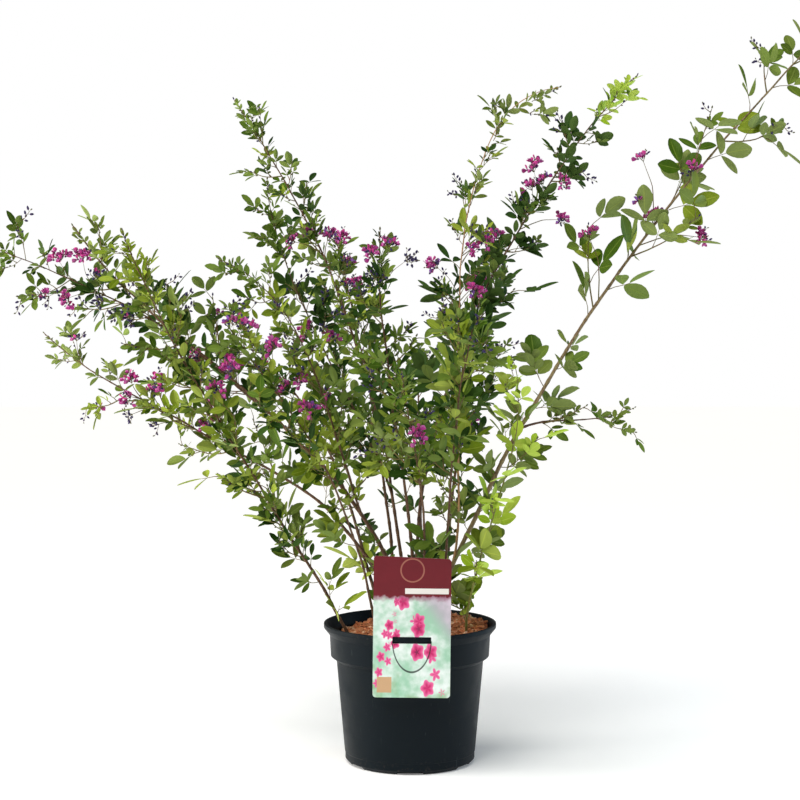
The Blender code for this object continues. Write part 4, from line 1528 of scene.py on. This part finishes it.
    def blossom(self, root: Vector, facing: Vector, size: float, faded: bool) -> None:
        """One pea flower: a raised banner over two wings and a keel, in a small dark calyx.

        Args:
            root: Where its calyx starts.
            facing: The way that its keel points.
            size: Its length.
            faded: Whether it has turned violet.
        """
        kit = self.kit
        upright = (UP - facing * facing.dot(UP)).normalized() if abs(facing.z) < 0.95 else around(facing, 0.0)
        across = facing.cross(upright)
        mouth = root + facing * size * 0.2
        banner, keel = (Petal.FADED, Petal.FADED) if faded else (Petal.BANNER, Petal.KEEL)
        raised, below = (turned(facing, across, math.radians(angle)) for angle in (BANNER_LEAN, KEEL_LEAN))
        self.petal(Petal.CALYX, kit.calyx, placed(root, facing, upright), size * CALYX_SIZE)
        self.petal(banner, kit.banner, placed(mouth, raised, -facing), size * BANNER_SIZE)
        for side in (-1, 1):
            way = turned(facing, upright, side * math.radians(WING_SPREAD))
            frame = placed(mouth, way, across * side + upright * 0.5)
            self.petal(Petal.WING, kit.wing, frame, size * WING_SIZE)
        self.petal(keel, kit.keel, placed(mouth, below, upright), size * KEEL_SIZE)

    def twig_path(self, points: Sequence[Vector], start: float) -> Path:
        """Adds a smooth twig through three points.

        Args:
            points: The points.
            start: Its radius where it starts.

        Returns:
            Its axis.
        """
        first, middle, last = points
        handle = (last - first) / 4
        smooth = interpolate_bezier(first, middle - handle, middle - handle * 0.2, middle, 4)[:-1]
        smooth += interpolate_bezier(middle, middle + handle * 0.2, last - (last - middle) / 3, last, 4)
        radii = [start * (1 - TWIG_TAPER * i / (len(smooth) - 1)) for i in range(len(smooth))]
        self.twig(smooth, radii)
        return Path(smooth, radii)

    def branch(self, share: float, angle: float, length: float, spread: float, fine: bool) -> Path | None:
        """One of the source's side shoots, or a finer twig.

        Args:
            share: Its place along the stem.
            angle: The first turn round the stem that it tries.
            length: Its length.
            spread: How far it leans out from the stem.
            fine: Whether it is a finer twig.

        Returns:
            Its axis, or None where it has no room.
        """
        point, ahead, radius = self.path.at(share)
        for out in fan(ahead, angle, FINE_TURNS if fine else TURNS):
            first = leaning(ahead, out, spread).normalized()
            second = (first + UP * SHOOT_LIFT + ahead * SHOOT_REACH).normalized()
            points = _, middle, end = forked(point, first, second, length)
            halfway = [] if fine else [point.lerp(middle, 0.5), middle.lerp(end, 0.5)]
            if self.spaces.free([middle, end, *halfway], self.cane.name, FINE_SLACK / 2 if fine else 0.0):
                thickest = min(TWIG_RADIUS, radius * 0.6) if fine else min(SHOOT_RADIUS, radius * 0.8)
                return self.twig_path(points, thickest)
        return None

    def clump(self, share: float, side: float, chance: float) -> None:
        """A clump of blossom or buds: a few short racemes that fan out from one place.

        Args:
            share: The place along the stem that it stands beside.
            side: How far it stands to the stem's left as the cane is climbed.
            chance: How many of the places on its racemes hold an open flower.
        """
        dice = self.fine
        point, ahead, radius = self.path.at(share)
        aside = Vector((-ahead.z, 0.0, ahead.x)).normalized()
        middle = point + aside * side + FRONT * dice.uniform(*CLUMP_STANDS)
        root = self.path.at(max(0.0, share - (abs(side) + 0.012) * 0.8 / self.path.length))[0]
        bow = root.lerp(middle, 0.55) + ahead * abs(side) * 0.18
        self.twig_path([root, bow, middle], min(TWIG_RADIUS, radius * 0.6))
        outward = (aside * math.copysign(1.0, side) + ahead * 0.5 + FRONT * 0.6).normalized()
        count = dice.randint(*CLUMP_RACEMES)
        for index in range(count):
            out = around(outward, math.tau * index / count + dice.uniform(-0.5, 0.5))
            along = (outward + out * dice.uniform(0.6, 1.1)).normalized()
            self.raceme(middle, along, dice.uniform(*CLUMP_LENGTHS), dice.uniform(*CLUMP_OPENED), chance)

    def tip_spray(self, limb: Path, reach: float) -> None:
        """Young leaves that shrink towards a limb's end, and the buds that it ends in.

        Args:
            limb: The limb.
            reach: How far from its end the first of them stands.
        """
        dice = self.fine
        count = max(2, round(reach / TIP_LEAF_GAP * min(1.0, 0.3 + 0.7 * self.cane.lush)))
        first, last = TIP_LEAF
        for index in range(count):
            part = index / count
            point, ahead, _ = limb.at(1.0 - reach * (1 - part) / limb.length)
            angle = math.pi / 2 + index * math.pi + dice.uniform(-0.7, 0.7)
            self.small_leaf(point, ahead, angle, first - (first - last) * part)
        for index in range(TIP_BUDS):
            point, ahead, _ = limb.at(1.0 - TIP_BUD_GAP * index / limb.length)
            out = around(ahead, index * GOLDEN_ANGLE + dice.uniform(-0.5, 0.5))
            frame = placed(point, (ahead + out * (0.2 + 0.2 * index)).normalized(), out)
            size = dice.uniform(*TIP_BUD_SIZES)
            self.petal(Petal.BUD if dice.random() < 0.3 else Petal.TIP, self.kit.bud, frame, size)

    def fill(self, limb: Path, start: float, end: float, size: float, amount: float) -> None:
        """Sets finer leaves along a stretch of a limb, smaller towards its tip.

        Args:
            limb: The limb.
            start: The share of it where the stretch starts.
            end: The share where it ends.
            size: The leaves' size beside the source's.
            amount: How many there are.
        """
        dice, count, reduced = self.fine, max(1, round(amount)), self.reduced
        for index in range(count):
            share = start + (end - start) * ((index + dice.uniform(0.2, 0.8)) / count) ** TIP_THINNING
            scale = size * self.cane.leaf * dice.uniform(0.62, 1.0) * min(1.0, 1.9 - 1.4 * share) * reduced
            if limb is self.path:
                self.enter(share)
            self.fine_leaf(limb, share, index * GOLDEN_ANGLE + dice.uniform(-0.6, 0.6), scale)

    def grow_shoot(self, share: float, angle: float) -> None:
        """One of the source's side shoots, with its leaves, its blossom and finer leaves between them.

        Args:
            share: Its place along the stem.
            angle: Its turn round the stem.
        """
        cane, pick = self.cane, self.random
        self.enter(share)
        length = cane.shoot_length * (1.15 - 0.6 * share) * pick.uniform(*SHOOT_LENGTHS)
        shoot = self.branch(share, angle, length, math.radians(pick.uniform(*SHOOT_SPREAD)), False)
        if shoot is None:
            return
        first, last = SHOOT_LEAVES
        if self.flowering(share):
            last = FLOWERING_LEAVES_END
        count = max(2, round(last * length / SHOOT_LEAF_STEP))
        for leaf in range(count):
            place = first + (last - first) * leaf / (count - 1)
            side = leaf * math.pi + pick.uniform(-LEAF_TWIST, LEAF_TWIST)
            self.leaf(shoot, place, side, cane.leaf * SHOOT_LEAF_SIZE)
        for place in FLOWER_PLACES if self.flowering(share) else ():
            self.flower(shoot, place, angle + place * math.tau)
        room = min(1.0, 1.7 - 1.5 * share)
        if cane.lush and share < YOUNG_FROM:
            self.fill(shoot, 0.1, 0.75, 0.78, min(1.0, cane.lush) * room * length / TWIG_LEAF_GAP / 2.6)
        self.tip_spray(shoot, room * min(0.6 * shoot.length, TIP_REACH * 0.7))

    def grow_twigs(self) -> None:
        """Short leafy twigs between the source's shoots, some of them ending in blossom."""
        dice, cane = self.fine, self.cane
        count = round(cane.lush * self.path.length / TWIG_GAP)
        for index in range(count):
            share = 0.03 + 0.92 * ((index + dice.uniform(0.1, 0.9)) / count) ** TIP_THINNING
            length = dice.uniform(*TWIG_LENGTHS) * (1.15 - 0.5 * share) * cane.leaf ** 0.5
            spread = math.radians(dice.uniform(*TWIG_SPREAD))
            self.enter(share)
            twig = self.branch(share, index * GOLDEN_ANGLE + 1.2, length, spread, True)
            if twig is None:
                continue
            self.fill(twig, 0.15, 1.0, 0.8, length / TWIG_LEAF_GAP)
            if self.flowering(share) and dice.random() < TWIG_BLOSSOM:
                tip, forward, _ = twig.at(0.8)
                self.raceme(tip, forward, dice.uniform(*RACEME_LENGTHS), 0.4, STRAY_BLOOM)
            self.tip_spray(twig, 0.4 * twig.length)

    def low_sprigs(self, bough: Path) -> None:
        """Thin sprigs with a few narrow leaves on the cane's own bare foot.

        Args:
            bough: The foot.
        """
        dice = self.fine
        self.tone, self.stray = self.cane.tones[0], STRAY_TONE
        count = round(self.cane.sprigs * bough.length / SPRIG_GAP)
        for index in range(count):
            point, ahead, _ = bough.at((index + dice.uniform(0.1, 0.9)) / count)
            length = dice.uniform(*SPRIG_LENGTHS)
            for out in fan(ahead, index * GOLDEN_ANGLE, FINE_TURNS):
                first = (ahead * 0.6 + out).normalized()
                second = (first + UP * 0.5).normalized()
                points = _, middle, end = forked(point, first, second, length)
                if self.spaces.free([middle, end, end + second * SPRIG_ROOM, end + first * SPRIG_ROOM]):
                    sprig = self.twig_path(points, SPRIG_RADIUS)
                    for leaf in range(max(2, round(length / SPRIG_LEAF_GAP))):
                        place, forward, _ = sprig.at(min(1.0, 0.35 + 0.22 * leaf))
                        size = self.cane.bold * dice.uniform(*SPRIG_LEAVES)
                        self.small_leaf(place, forward, math.pi / 2 + leaf * math.pi, size)
                    break

    def grow(self, bough: Path | None) -> None:
        """The source's shoots and leaves, in its order, and then the finer growth.

        Args:
            bough: The cane's bare foot, where it has its own.
        """
        cane, pick = self.cane, self.random
        first, last = SHOOT_STRETCH
        for index in range(cane.shoots):
            share = first + (last - first) * (index + pick.uniform(0.2, 0.8)) / cane.shoots
            self.grow_shoot(share, index * GOLDEN_ANGLE)
        first, last = STEM_LEAVES
        count = round(self.path.length / LEAF_STEP)
        for index in range(count):
            share = first + (last - first) * (index + 0.5) / count
            side = index * GOLDEN_ANGLE + pick.uniform(-LEAF_TWIST, LEAF_TWIST)
            self.enter(share)
            self.leaf(self.path, share, side, cane.leaf * min(1.1, 1.775 - 1.125 * share))
        self.grow_twigs()
        self.reduced = 1.0 - 0.4 * cane.taper
        self.fill(self.path, 0.02, 0.9, 1.0, cane.lush * self.path.length / STEM_LEAF_GAP)
        self.enter(1.0)
        self.tip_spray(self.path, TIP_REACH)
        for clumps, chance in ((cane.clumps, CLUMP_OPEN), (cane.buds, BUDS_OPEN)):
            for place, side in clumps:
                self.clump(place, side, chance)
        if bough:
            self.low_sprigs(bough)


class Crown:
    """All canes with their bark, and every mass of leaf and blossom on them."""

    def __init__(self) -> None:
        """Starts with no limb."""
        self.spaces = Spaces()
        self.boughs: dict[str, Path] = {}
        self.stems: dict[str, Path] = {}
        self.bark = {bark: Limbs(f"canes_{bark.value}", 3, BARK_RELIEF) for bark in Bark}

    def plan(self) -> None:
        """Works out every cane's axis as the source does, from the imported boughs' feet."""
        for cane in CANES:
            nodes = [f"foliage_{cane.name}"]
            if cane.parent:
                start, ahead, root = self.child_start(self.boughs[cane.parent], cane)
                fine, radius = curve_points(start, cane), cane.radius * CHILD_SHARE
            else:
                nodes.append(f"cane_{cane.name}")
                foot = Vector((*cane.foot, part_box(nodes[-1])[0].z))
                fine = curve_points(foot + UP * FOOT_STRAIGHT, cane)
                radius, root = cane.radius, foot - UP * SUNK
                points = stretch(fine, 0, cane.bare, CANE_POINTS)
                start, ahead = points[-1], (points[-1] - points[-2]).normalized()
                bough = tapered([foot, *points[:-1], start - ahead * CAP_STUB, start], radius, 0, cane.bare)
                self.boughs[cane.name] = bough
                self.spaces.add(nodes[-1], bough)
            self.add_bark(cane, [root, *fine], radius, nodes)
            self.stems[cane.name] = self.leafy_path(cane, fine, start, ahead, radius)
            self.spaces.add(cane.name, self.stems[cane.name])

    @staticmethod
    def leafy_path(cane: Cane, fine: Sequence[Vector], start: Vector, ahead: Vector, radius: float) -> Path:
        """Works out the stem inside a mass, as the source has it.

        Args:
            cane: The cane.
            fine: Its fine curve.
            start: Where its bare part ends.
            ahead: Its direction there.
            radius: Its radius at its foot.

        Returns:
            The stem.
        """
        first = start + ahead * GAP
        length = Path(fine).length * (1 - cane.bare)
        rest = stretch(fine, cane.bare, 1, max(3, round(length / STEM_STEP)))[1:]
        return tapered([first, first + ahead * CAP_STUB, *rest], radius, cane.bare, 1)

    @staticmethod
    def child_start(parent: Path, cane: Cane) -> tuple[Vector, Vector, Vector]:
        """Works out where a side stem leaves its parent's bark.

        Args:
            parent: The parent's bare foot.
            cane: The side stem.

        Returns:
            Its start, its direction, and the place on its parent's axis.
        """
        spots = [parent.at(i / FINE_POINTS) for i in range(1, FINE_POINTS)]
        point, along, radius = min(spots, key=lambda spot: (spot[0].xy - Vector(cane.foot)).length)
        direction = Vector(cane.rise).normalized()
        away = (direction - along * direction.dot(along)).normalized()
        slope = direction.dot(away)
        clear = radius + cane.radius * CHILD_SHARE * math.sqrt(1 - slope * slope) + 2 * GAP
        return point + direction * (clear / slope), direction, point

    def add_bark(self, cane: Cane, axis: Sequence[Vector], radius: float, nodes: Sequence[str]) -> None:
        """Adds one cane's bark, swollen a little at each leaf joint and thin at its tip.

        Args:
            cane: The cane.
            axis: Its axis.
            radius: Its radius at its foot.
            nodes: The nodes that it stands for.
        """
        dice = random.Random(cane.name + " bark")
        path = tapered(axis, radius, 0.0, 1.0)
        joints = []
        place = dice.uniform(0.3, 1.0) * NODE_GAP
        while place < path.length:
            joints.append(place)
            place += NODE_GAP * dice.uniform(0.8, 1.25)
        count = max(8, round(path.length / CANE_STEP))
        points, radii = [], []
        for index in range(count + 1):
            point, _, width = path.at(index / count)
            length = path.length * index / count
            near = min((abs(length - joint) for joint in joints), default=1.0)
            swell = 1 + NODE_SWELL * math.exp(-(near / NODE_WIDTH) ** 2)
            sway = noise.noise_vector(point * SWAY_SCALE + Vector((radius * 1e4, 0, 0))) * SWAY
            points.append(point + sway * min(1.0, length / SWAY_FOOT))
            radii.append(width * swell * (1 - STEM_THINNING * index / count))
        self.bark[cane.bark].add(points, radii, *nodes)

    def build(self) -> None:
        """Makes a piece of each bark, then grows every mass and makes a piece of each kind and colour."""
        self.plan()
        for bark, limbs in self.bark.items():
            limbs.piece("cane_bark", BARK_FINISHES[bark])
        kit = Kit()
        for cane in CANES:
            Mass(cane, self.stems[cane.name], self.spaces, kit).grow(self.boughs.get(cane.name))
        for (tone, _), leaves in kit.leaves.items():
            if leaves.nodes:
                leaves.piece(LEAF_SLOTS[tone], LEAF_FINISHES[tone])
        for petal, parts in kit.petals.items():
            parts.piece("foliage_green", PETAL_FINISHES[petal])
        kit.twigs.piece("foliage_green", TWIG_FINISH)


@dataclass
class NurseryPot:
    """The pot: a lip, a collar over a rounded step, a tapering wall with a faint ring, and a slotted foot."""

    steps: int = 128
    edge: float = 0.0011
    edge_steps: int = 3
    ring_height: float = 0.0118
    ring_width: float = 0.0006
    ring_proud: float = 0.0007

    def profile(self) -> list[tuple[float, float]]:
        """Draws half of the pot's section.

        Returns:
            Radii and heights, from the middle of the inner floor up, over the lip and down.
        """
        inner = COLLAR_RADIUS - POT_WALL
        rise = (self.ring_height - FOOT_HEIGHT) / (POT_HEIGHT - STEP_DROP - FOOT_HEIGHT)
        at_ring = WALL_FOOT_RADIUS + (WALL_TOP_RADIUS - WALL_FOOT_RADIUS) * rise
        return [
            (0.0, POT_FLOOR),
            (FOOT_RADIUS - POT_WALL, POT_FLOOR),
            (WALL_FOOT_RADIUS - POT_WALL, FOOT_HEIGHT + POT_FLOOR),
            (WALL_TOP_RADIUS - POT_WALL, POT_HEIGHT - STEP_DROP + POT_WALL),
            (inner - COLLAR_TAPER, POT_HEIGHT - COLLAR_DROP + POT_WALL),
            (inner, POT_HEIGHT - LIP_DROP),
            (LIP_RADIUS - LIP_TOP_WIDTH, POT_HEIGHT),
            (LIP_RADIUS, POT_HEIGHT),
            (LIP_RADIUS, POT_HEIGHT - LIP_FACE),
            (COLLAR_RADIUS, POT_HEIGHT - LIP_DROP),
            (COLLAR_RADIUS - COLLAR_TAPER, POT_HEIGHT - COLLAR_DROP),
            (WALL_TOP_RADIUS, POT_HEIGHT - STEP_DROP),
            (at_ring, self.ring_height + self.ring_width),
            (at_ring - self.ring_proud, self.ring_height),
            (WALL_FOOT_RADIUS, FOOT_HEIGHT),
            (FOOT_RADIUS, 0.0),
            (0.0, 0.0),
        ]

    def build(self) -> None:
        """Turns the section, rounds its rings, cuts the drain slots and dresses the pot."""
        bm = sealed(revolved(self.profile(), self.steps))
        rings = [edge for edge in bm.edges if self.is_ring(edge)]
        bmesh.ops.bevel(bm, geom=rings, offset=self.edge, offset_type="OFFSET", segments=self.edge_steps,
                        profile=0.5, affect="EDGES", material=-1, clamp_overlap=True)
        blank = linked("pot_blank", ended(sealed(bm), "pot_blank"))
        cutter = linked("drain_cutter", ended(sealed(self.drains()), "drain_cutter"))
        cut = blank.modifiers.new("Drain slots", "BOOLEAN")
        cut.operation, cut.object, cut.solver = "DIFFERENCE", cutter, "EXACT"
        mesh = ended(baked(blank), "pot_shell")
        bpy.data.batch_remove((cutter, cutter.data))
        show("pot_shell", mesh, "pot_plastic", POT_FINISH, nodes=("pot",), smooth=32.0)

    @staticmethod
    def is_ring(edge: bmesh.types.BMEdge) -> bool:
        """Picks the edges that run round the pot at a turn in its wall, which a mould rounds.

        Args:
            edge: An edge.

        Returns:
            Whether it is one.
        """
        first, second = edge.verts
        level = abs(first.co.z - second.co.z) < WELD and first.co.xy.length > FOOT_RADIUS - 0.003
        return level and len(edge.link_faces) == 2 and edge.calc_face_angle(0.0) > math.radians(14)

    @staticmethod
    def drains() -> bmesh.types.BMesh:
        """Makes the blocks that cut a ring of drain slots into the edge of the foot.

        Returns:
            The blocks.
        """
        blocks = bmesh.new()
        for index in range(DRAIN_COUNT):
            turn = Matrix.Rotation(math.tau * index / DRAIN_COUNT, 4, "Z")
            place = turn @ Matrix.Translation((0, DRAIN_REACH - FOOT_RADIUS - DRAIN_SIZE[1] / 2, 0))
            bmesh.ops.create_cube(blocks, size=1, matrix=place @ Matrix.Diagonal((*DRAIN_SIZE, 1)))
        return blocks


@dataclass
class BarkSoil:
    """The pot's filling: a lumpy bed with loose bark chips and wood fibre on it."""

    radius: float = 0.0855
    depth: float = 0.012
    heap: float = 0.0098
    lump: float = 0.0011
    lump_scale: float = 260
    settle: float = 0.0006
    below_lip: float = 0.0028
    rings: int = 26
    steps: int = 84
    chips: int = 2100
    chip_shapes: int = 8
    chip_sizes: tuple = (0.0035, 0.0085)
    chip_shares: tuple = (0.5, 0.28, 0.22)
    fibres: int = 1300
    fibre_lengths: tuple = (0.006, 0.019)
    fibre_radii: tuple = (0.00022, 0.0005)
    fibre_droop: float = 0.0006

    def height(self, x: float, y: float) -> float:
        """Works out the bed's height, as the source has it with finer lumps.

        Args:
            x: The place across.
            y: The place from front to back.

        Returns:
            The height there.
        """
        spot = Vector((x, y, SOIL_TOP))
        coarse = SOIL_RISE * x / self.radius + SOIL_LUMP * noise.noise(spot / SOIL_LUMP_SIZE)
        heap = self.heap * max(0.0, 0.75 + (0.5 * x + 0.45 * y) / self.radius)
        lumps = self.lump * noise.noise(spot * self.lump_scale) - self.settle
        return min(SOIL_TOP + coarse + heap, POT_HEIGHT - self.below_lip) + lumps

    def build(self) -> None:
        """Builds the bed, then scatters the chips and the fibre."""
        profile = [(self.radius * ring / self.rings, SOIL_TOP) for ring in range(self.rings + 1)]
        profile += [(self.radius - 0.002, SOIL_TOP - self.depth), (0.0, SOIL_TOP - self.depth)]
        bm = revolved(profile, self.steps)
        for vert in bm.verts:
            if vert.co.z > SOIL_TOP - WELD:
                vert.co.z = self.height(vert.co.x, vert.co.y)
        show("soil_bed", ended(sealed(bm), "soil_bed"), "soil", SOIL_BED, nodes=("soil",))
        self.scatter_chips()
        self.scatter_fibre()

    def spot(self, dice: random.Random, inset: float) -> Vector:
        """Draws a place on the bed.

        Args:
            dice: The random draws.
            inset: How far it keeps from the pot's wall.

        Returns:
            The place.
        """
        away = (self.radius - inset) * math.sqrt(dice.random())
        angle = dice.uniform(0, math.tau)
        x, y = away * math.cos(angle), away * math.sin(angle)
        return Vector((x, y, self.height(x, y)))

    @staticmethod
    def chip(dice: random.Random) -> bpy.types.Mesh:
        """Makes one splintered flake of bark, one unit long.

        Args:
            dice: The random draws.

        Returns:
            The flake.
        """
        bm = bmesh.new()
        bmesh.ops.create_cube(bm, size=1, matrix=Matrix.Diagonal((1.0, dice.uniform(0.3, 0.6), 0.2, 1.0)))
        bmesh.ops.subdivide_edges(bm, edges=bm.edges, cuts=1, use_grid_fill=True)
        for vert in bm.verts:
            vert.co.y *= 1 - dice.uniform(0.3, 0.8) * abs(vert.co.x)
            vert.co += Vector([dice.uniform(-0.05, 0.05) for _ in range(3)])
        return ended(sealed(bm), "chip")

    def scatter_chips(self) -> None:
        """Lays chips of three browns over the bed, half sunk in it."""
        dice = random.Random("bark chips")
        least, more = self.chip_sizes
        shapes = [self.chip(dice) for _ in range(self.chip_shapes)]
        piles = [Gathering(f"soil_{finish.name}") for finish in CHIP_FINISHES]
        for _ in range(self.chips):
            place = self.spot(dice, 0.003)
            turn = Matrix.Rotation(dice.uniform(0, math.tau), 4, "Z")
            lean = Matrix.Rotation(dice.gauss(0, 0.35), 4, "Y") @ Matrix.Rotation(dice.gauss(0, 0.5), 4, "X")
            size = least + more * dice.random() ** 2.2
            middle = Matrix.Translation(place + UP * dice.uniform(0, 0.0011))
            frame = middle @ turn @ lean @ Matrix.Scale(size, 4)
            dice.choices(piles, self.chip_shares)[0].place(dice.choice(shapes), frame)
        for pile, finish in zip(piles, CHIP_FINISHES):
            pile.piece("soil", finish, 30.0)

    def scatter_fibre(self) -> None:
        """Lays thin curved wood fibres over the chips."""
        dice = random.Random("wood fibre")
        strands = Limbs("soil_fibre")
        for _ in range(self.fibres):
            middle = self.spot(dice, 0.010) + UP * dice.uniform(0.0008, 0.0024)
            angle, length = dice.uniform(0, math.tau), dice.uniform(*self.fibre_lengths)
            along = Vector((math.cos(angle), math.sin(angle), dice.gauss(0, 0.14))) * length / 2
            side = Vector((-along.y, along.x, 0)) * dice.uniform(-0.25, 0.25)
            radius, droop = dice.uniform(*self.fibre_radii), UP * self.fibre_droop
            strands.add([middle - along - droop, middle + side, middle + along - droop],
                        [radius * 0.6, radius, radius * 0.5])
        strands.piece("soil", FIBRE_FINISH)


@dataclass
class HangingCard:
    """The card that hangs on the pot's lip by its slot."""

    corner_steps: int = 8
    slot_steps: int = 2
    top_fall: float = 0.003

    @staticmethod
    def outline(width: float, height: float, radius: float, middle: float, steps: int) -> list[Vector]:
        """Draws a rectangle whose corners are arcs.

        Args:
            width: Its width.
            height: Its height.
            radius: Its corners' radius.
            middle: Its middle's height.
            steps: The steps in a corner.

        Returns:
            The points round it.
        """
        points = []
        for side, end, quarter in ((1, 1, 0), (-1, 1, 1), (-1, -1, 2), (1, -1, 3)):
            centre = Vector((side * (width / 2 - radius), end * (height / 2 - radius) + middle, 0))
            for step in range(steps + 1):
                angle = (quarter + step / steps) * math.pi / 2
                points.append(centre + Vector((math.cos(angle), math.sin(angle), 0)) * radius)
        return points

    def build(self) -> None:
        """Cuts the card from its outline and its slot's, stands it up and prints its face."""
        curve = bpy.data.curves.new("card", "CURVE")
        curve.dimensions = "2D"
        curve.fill_mode = "BOTH"
        curve.extrude = CARD_THICKNESS / 2
        middle = (CARD_TOP + CARD_BOTTOM) / 2 - SLOT_MIDDLE
        for sizes in ((CARD_WIDTH, CARD_TOP - CARD_BOTTOM, CARD_CORNER, middle, self.corner_steps),
                      (SLOT_WIDTH, SLOT_HEIGHT, SLOT_CORNER, 0.0, self.slot_steps)):
            traced(curve, self.outline(*sizes)).use_cyclic_u = True
        bm = baked(linked("card", curve))
        for vert in bm.verts:
            rise = max(vert.co.y, 0.0) / (CARD_TOP - SLOT_MIDDLE)
            vert.co.y -= self.top_fall * rise * (vert.co.x / CARD_WIDTH + 0.5)
        turn = Matrix.Rotation(CARD_SWING, 4, "Y") @ Matrix.Rotation(math.pi / 2, 4, "X")
        bm.transform(Matrix.Translation((CARD_MIDDLE, CARD_FRONT + CARD_THICKNESS / 2, SLOT_MIDDLE)) @ turn)
        mesh = ended(sealed(bm), "label_print")
        show("label_print", mesh, "label_card", CardFinish(), CARD_BACK, nodes=("label_card",), smooth=30.0)
        for face in mesh.polygons:
            face.material_index = 0 if face.normal.y < -0.5 else 1


@dataclass
class Studio:
    """The pale floor, soft light and camera. A strip has its name, place, size, power and tint."""

    ambient: float = 0.22
    sun: float = 2.6
    sun_size: float = math.radians(38)
    sun_way: tuple = (0.3, 0.55, -1.0)
    aim: tuple = (0, 0, 0.12)
    strips: tuple = (("left_strip", (-1.2, -0.1, 0.45), 0.7, 10.5, (1.0, 0.97, 0.92)),
                     ("right_strip", (1.5, 0.3, 0.4), 0.8, 6.5, (0.4, 0.72, 1.0)))

    @staticmethod
    def lamp(kind: str, name: str, way: Vector, power: float, tint: tuple) -> bpy.types.Object:
        """Adds a lamp.

        Args:
            kind: Its kind.
            name: Its name.
            way: The way that it shines.
            power: Its power.
            tint: Its colour.

        Returns:
            The lamp.
        """
        made = linked(name, bpy.data.lights.new(name, kind))
        made.data.energy, made.data.color = power, tint
        made.rotation_euler = way.to_track_quat("-Z", "Y").to_euler()
        return made

    def build(self) -> None:
        """Sets up the camera, the world, the lamps and the floor."""
        scene = bpy.context.scene
        scene.view_settings.view_transform = "Standard"
        scene.camera = linked("camera", bpy.data.cameras.new("camera"))
        scene.camera.data.lens, scene.camera.data.sensor_width = CAMERA_LENS, 36.0
        scene.camera.location = CAMERA_PLACE
        scene.camera.rotation_euler = (CAMERA_PITCH, 0.0, 0.0)
        scene.world = bpy.data.worlds.new("pale_studio")
        scene.world.use_nodes = True
        nodes = scene.world.node_tree.nodes
        seen = Wire(nodes.new("ShaderNodeLightPath").outputs["Is Camera Ray"])
        feed(seen * (1.0 - self.ambient) + self.ambient, nodes["Background"].inputs["Strength"])
        feed("ffffff", nodes["Background"].inputs["Color"])
        sun = self.lamp("SUN", "high_window", Vector(self.sun_way), self.sun, (1.0, 0.985, 0.95))
        sun.data.angle = self.sun_size
        for name, place, size, power, tint in self.strips:
            strip = self.lamp("AREA", name, Vector(self.aim) - Vector(place), power, tint)
            strip.location, strip.data.size = place, size
        bm = bmesh.new()
        bmesh.ops.create_grid(bm, x_segments=2, y_segments=2, size=6.0)
        floor = linked("floor", ended(bm, "floor"))
        floor.data.materials.append(FLOOR_FINISH.build())


def main() -> None:
    """Builds the pieces in order."""
    logging.basicConfig(level=logging.INFO, format="%(message)s")
    noise.seed_set(BEND_SEED)
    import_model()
    for part in (Studio(), NurseryPot(), BarkSoil(), HangingCard(), Crown()):
        part.build()


if __name__ == "__main__":
    main()
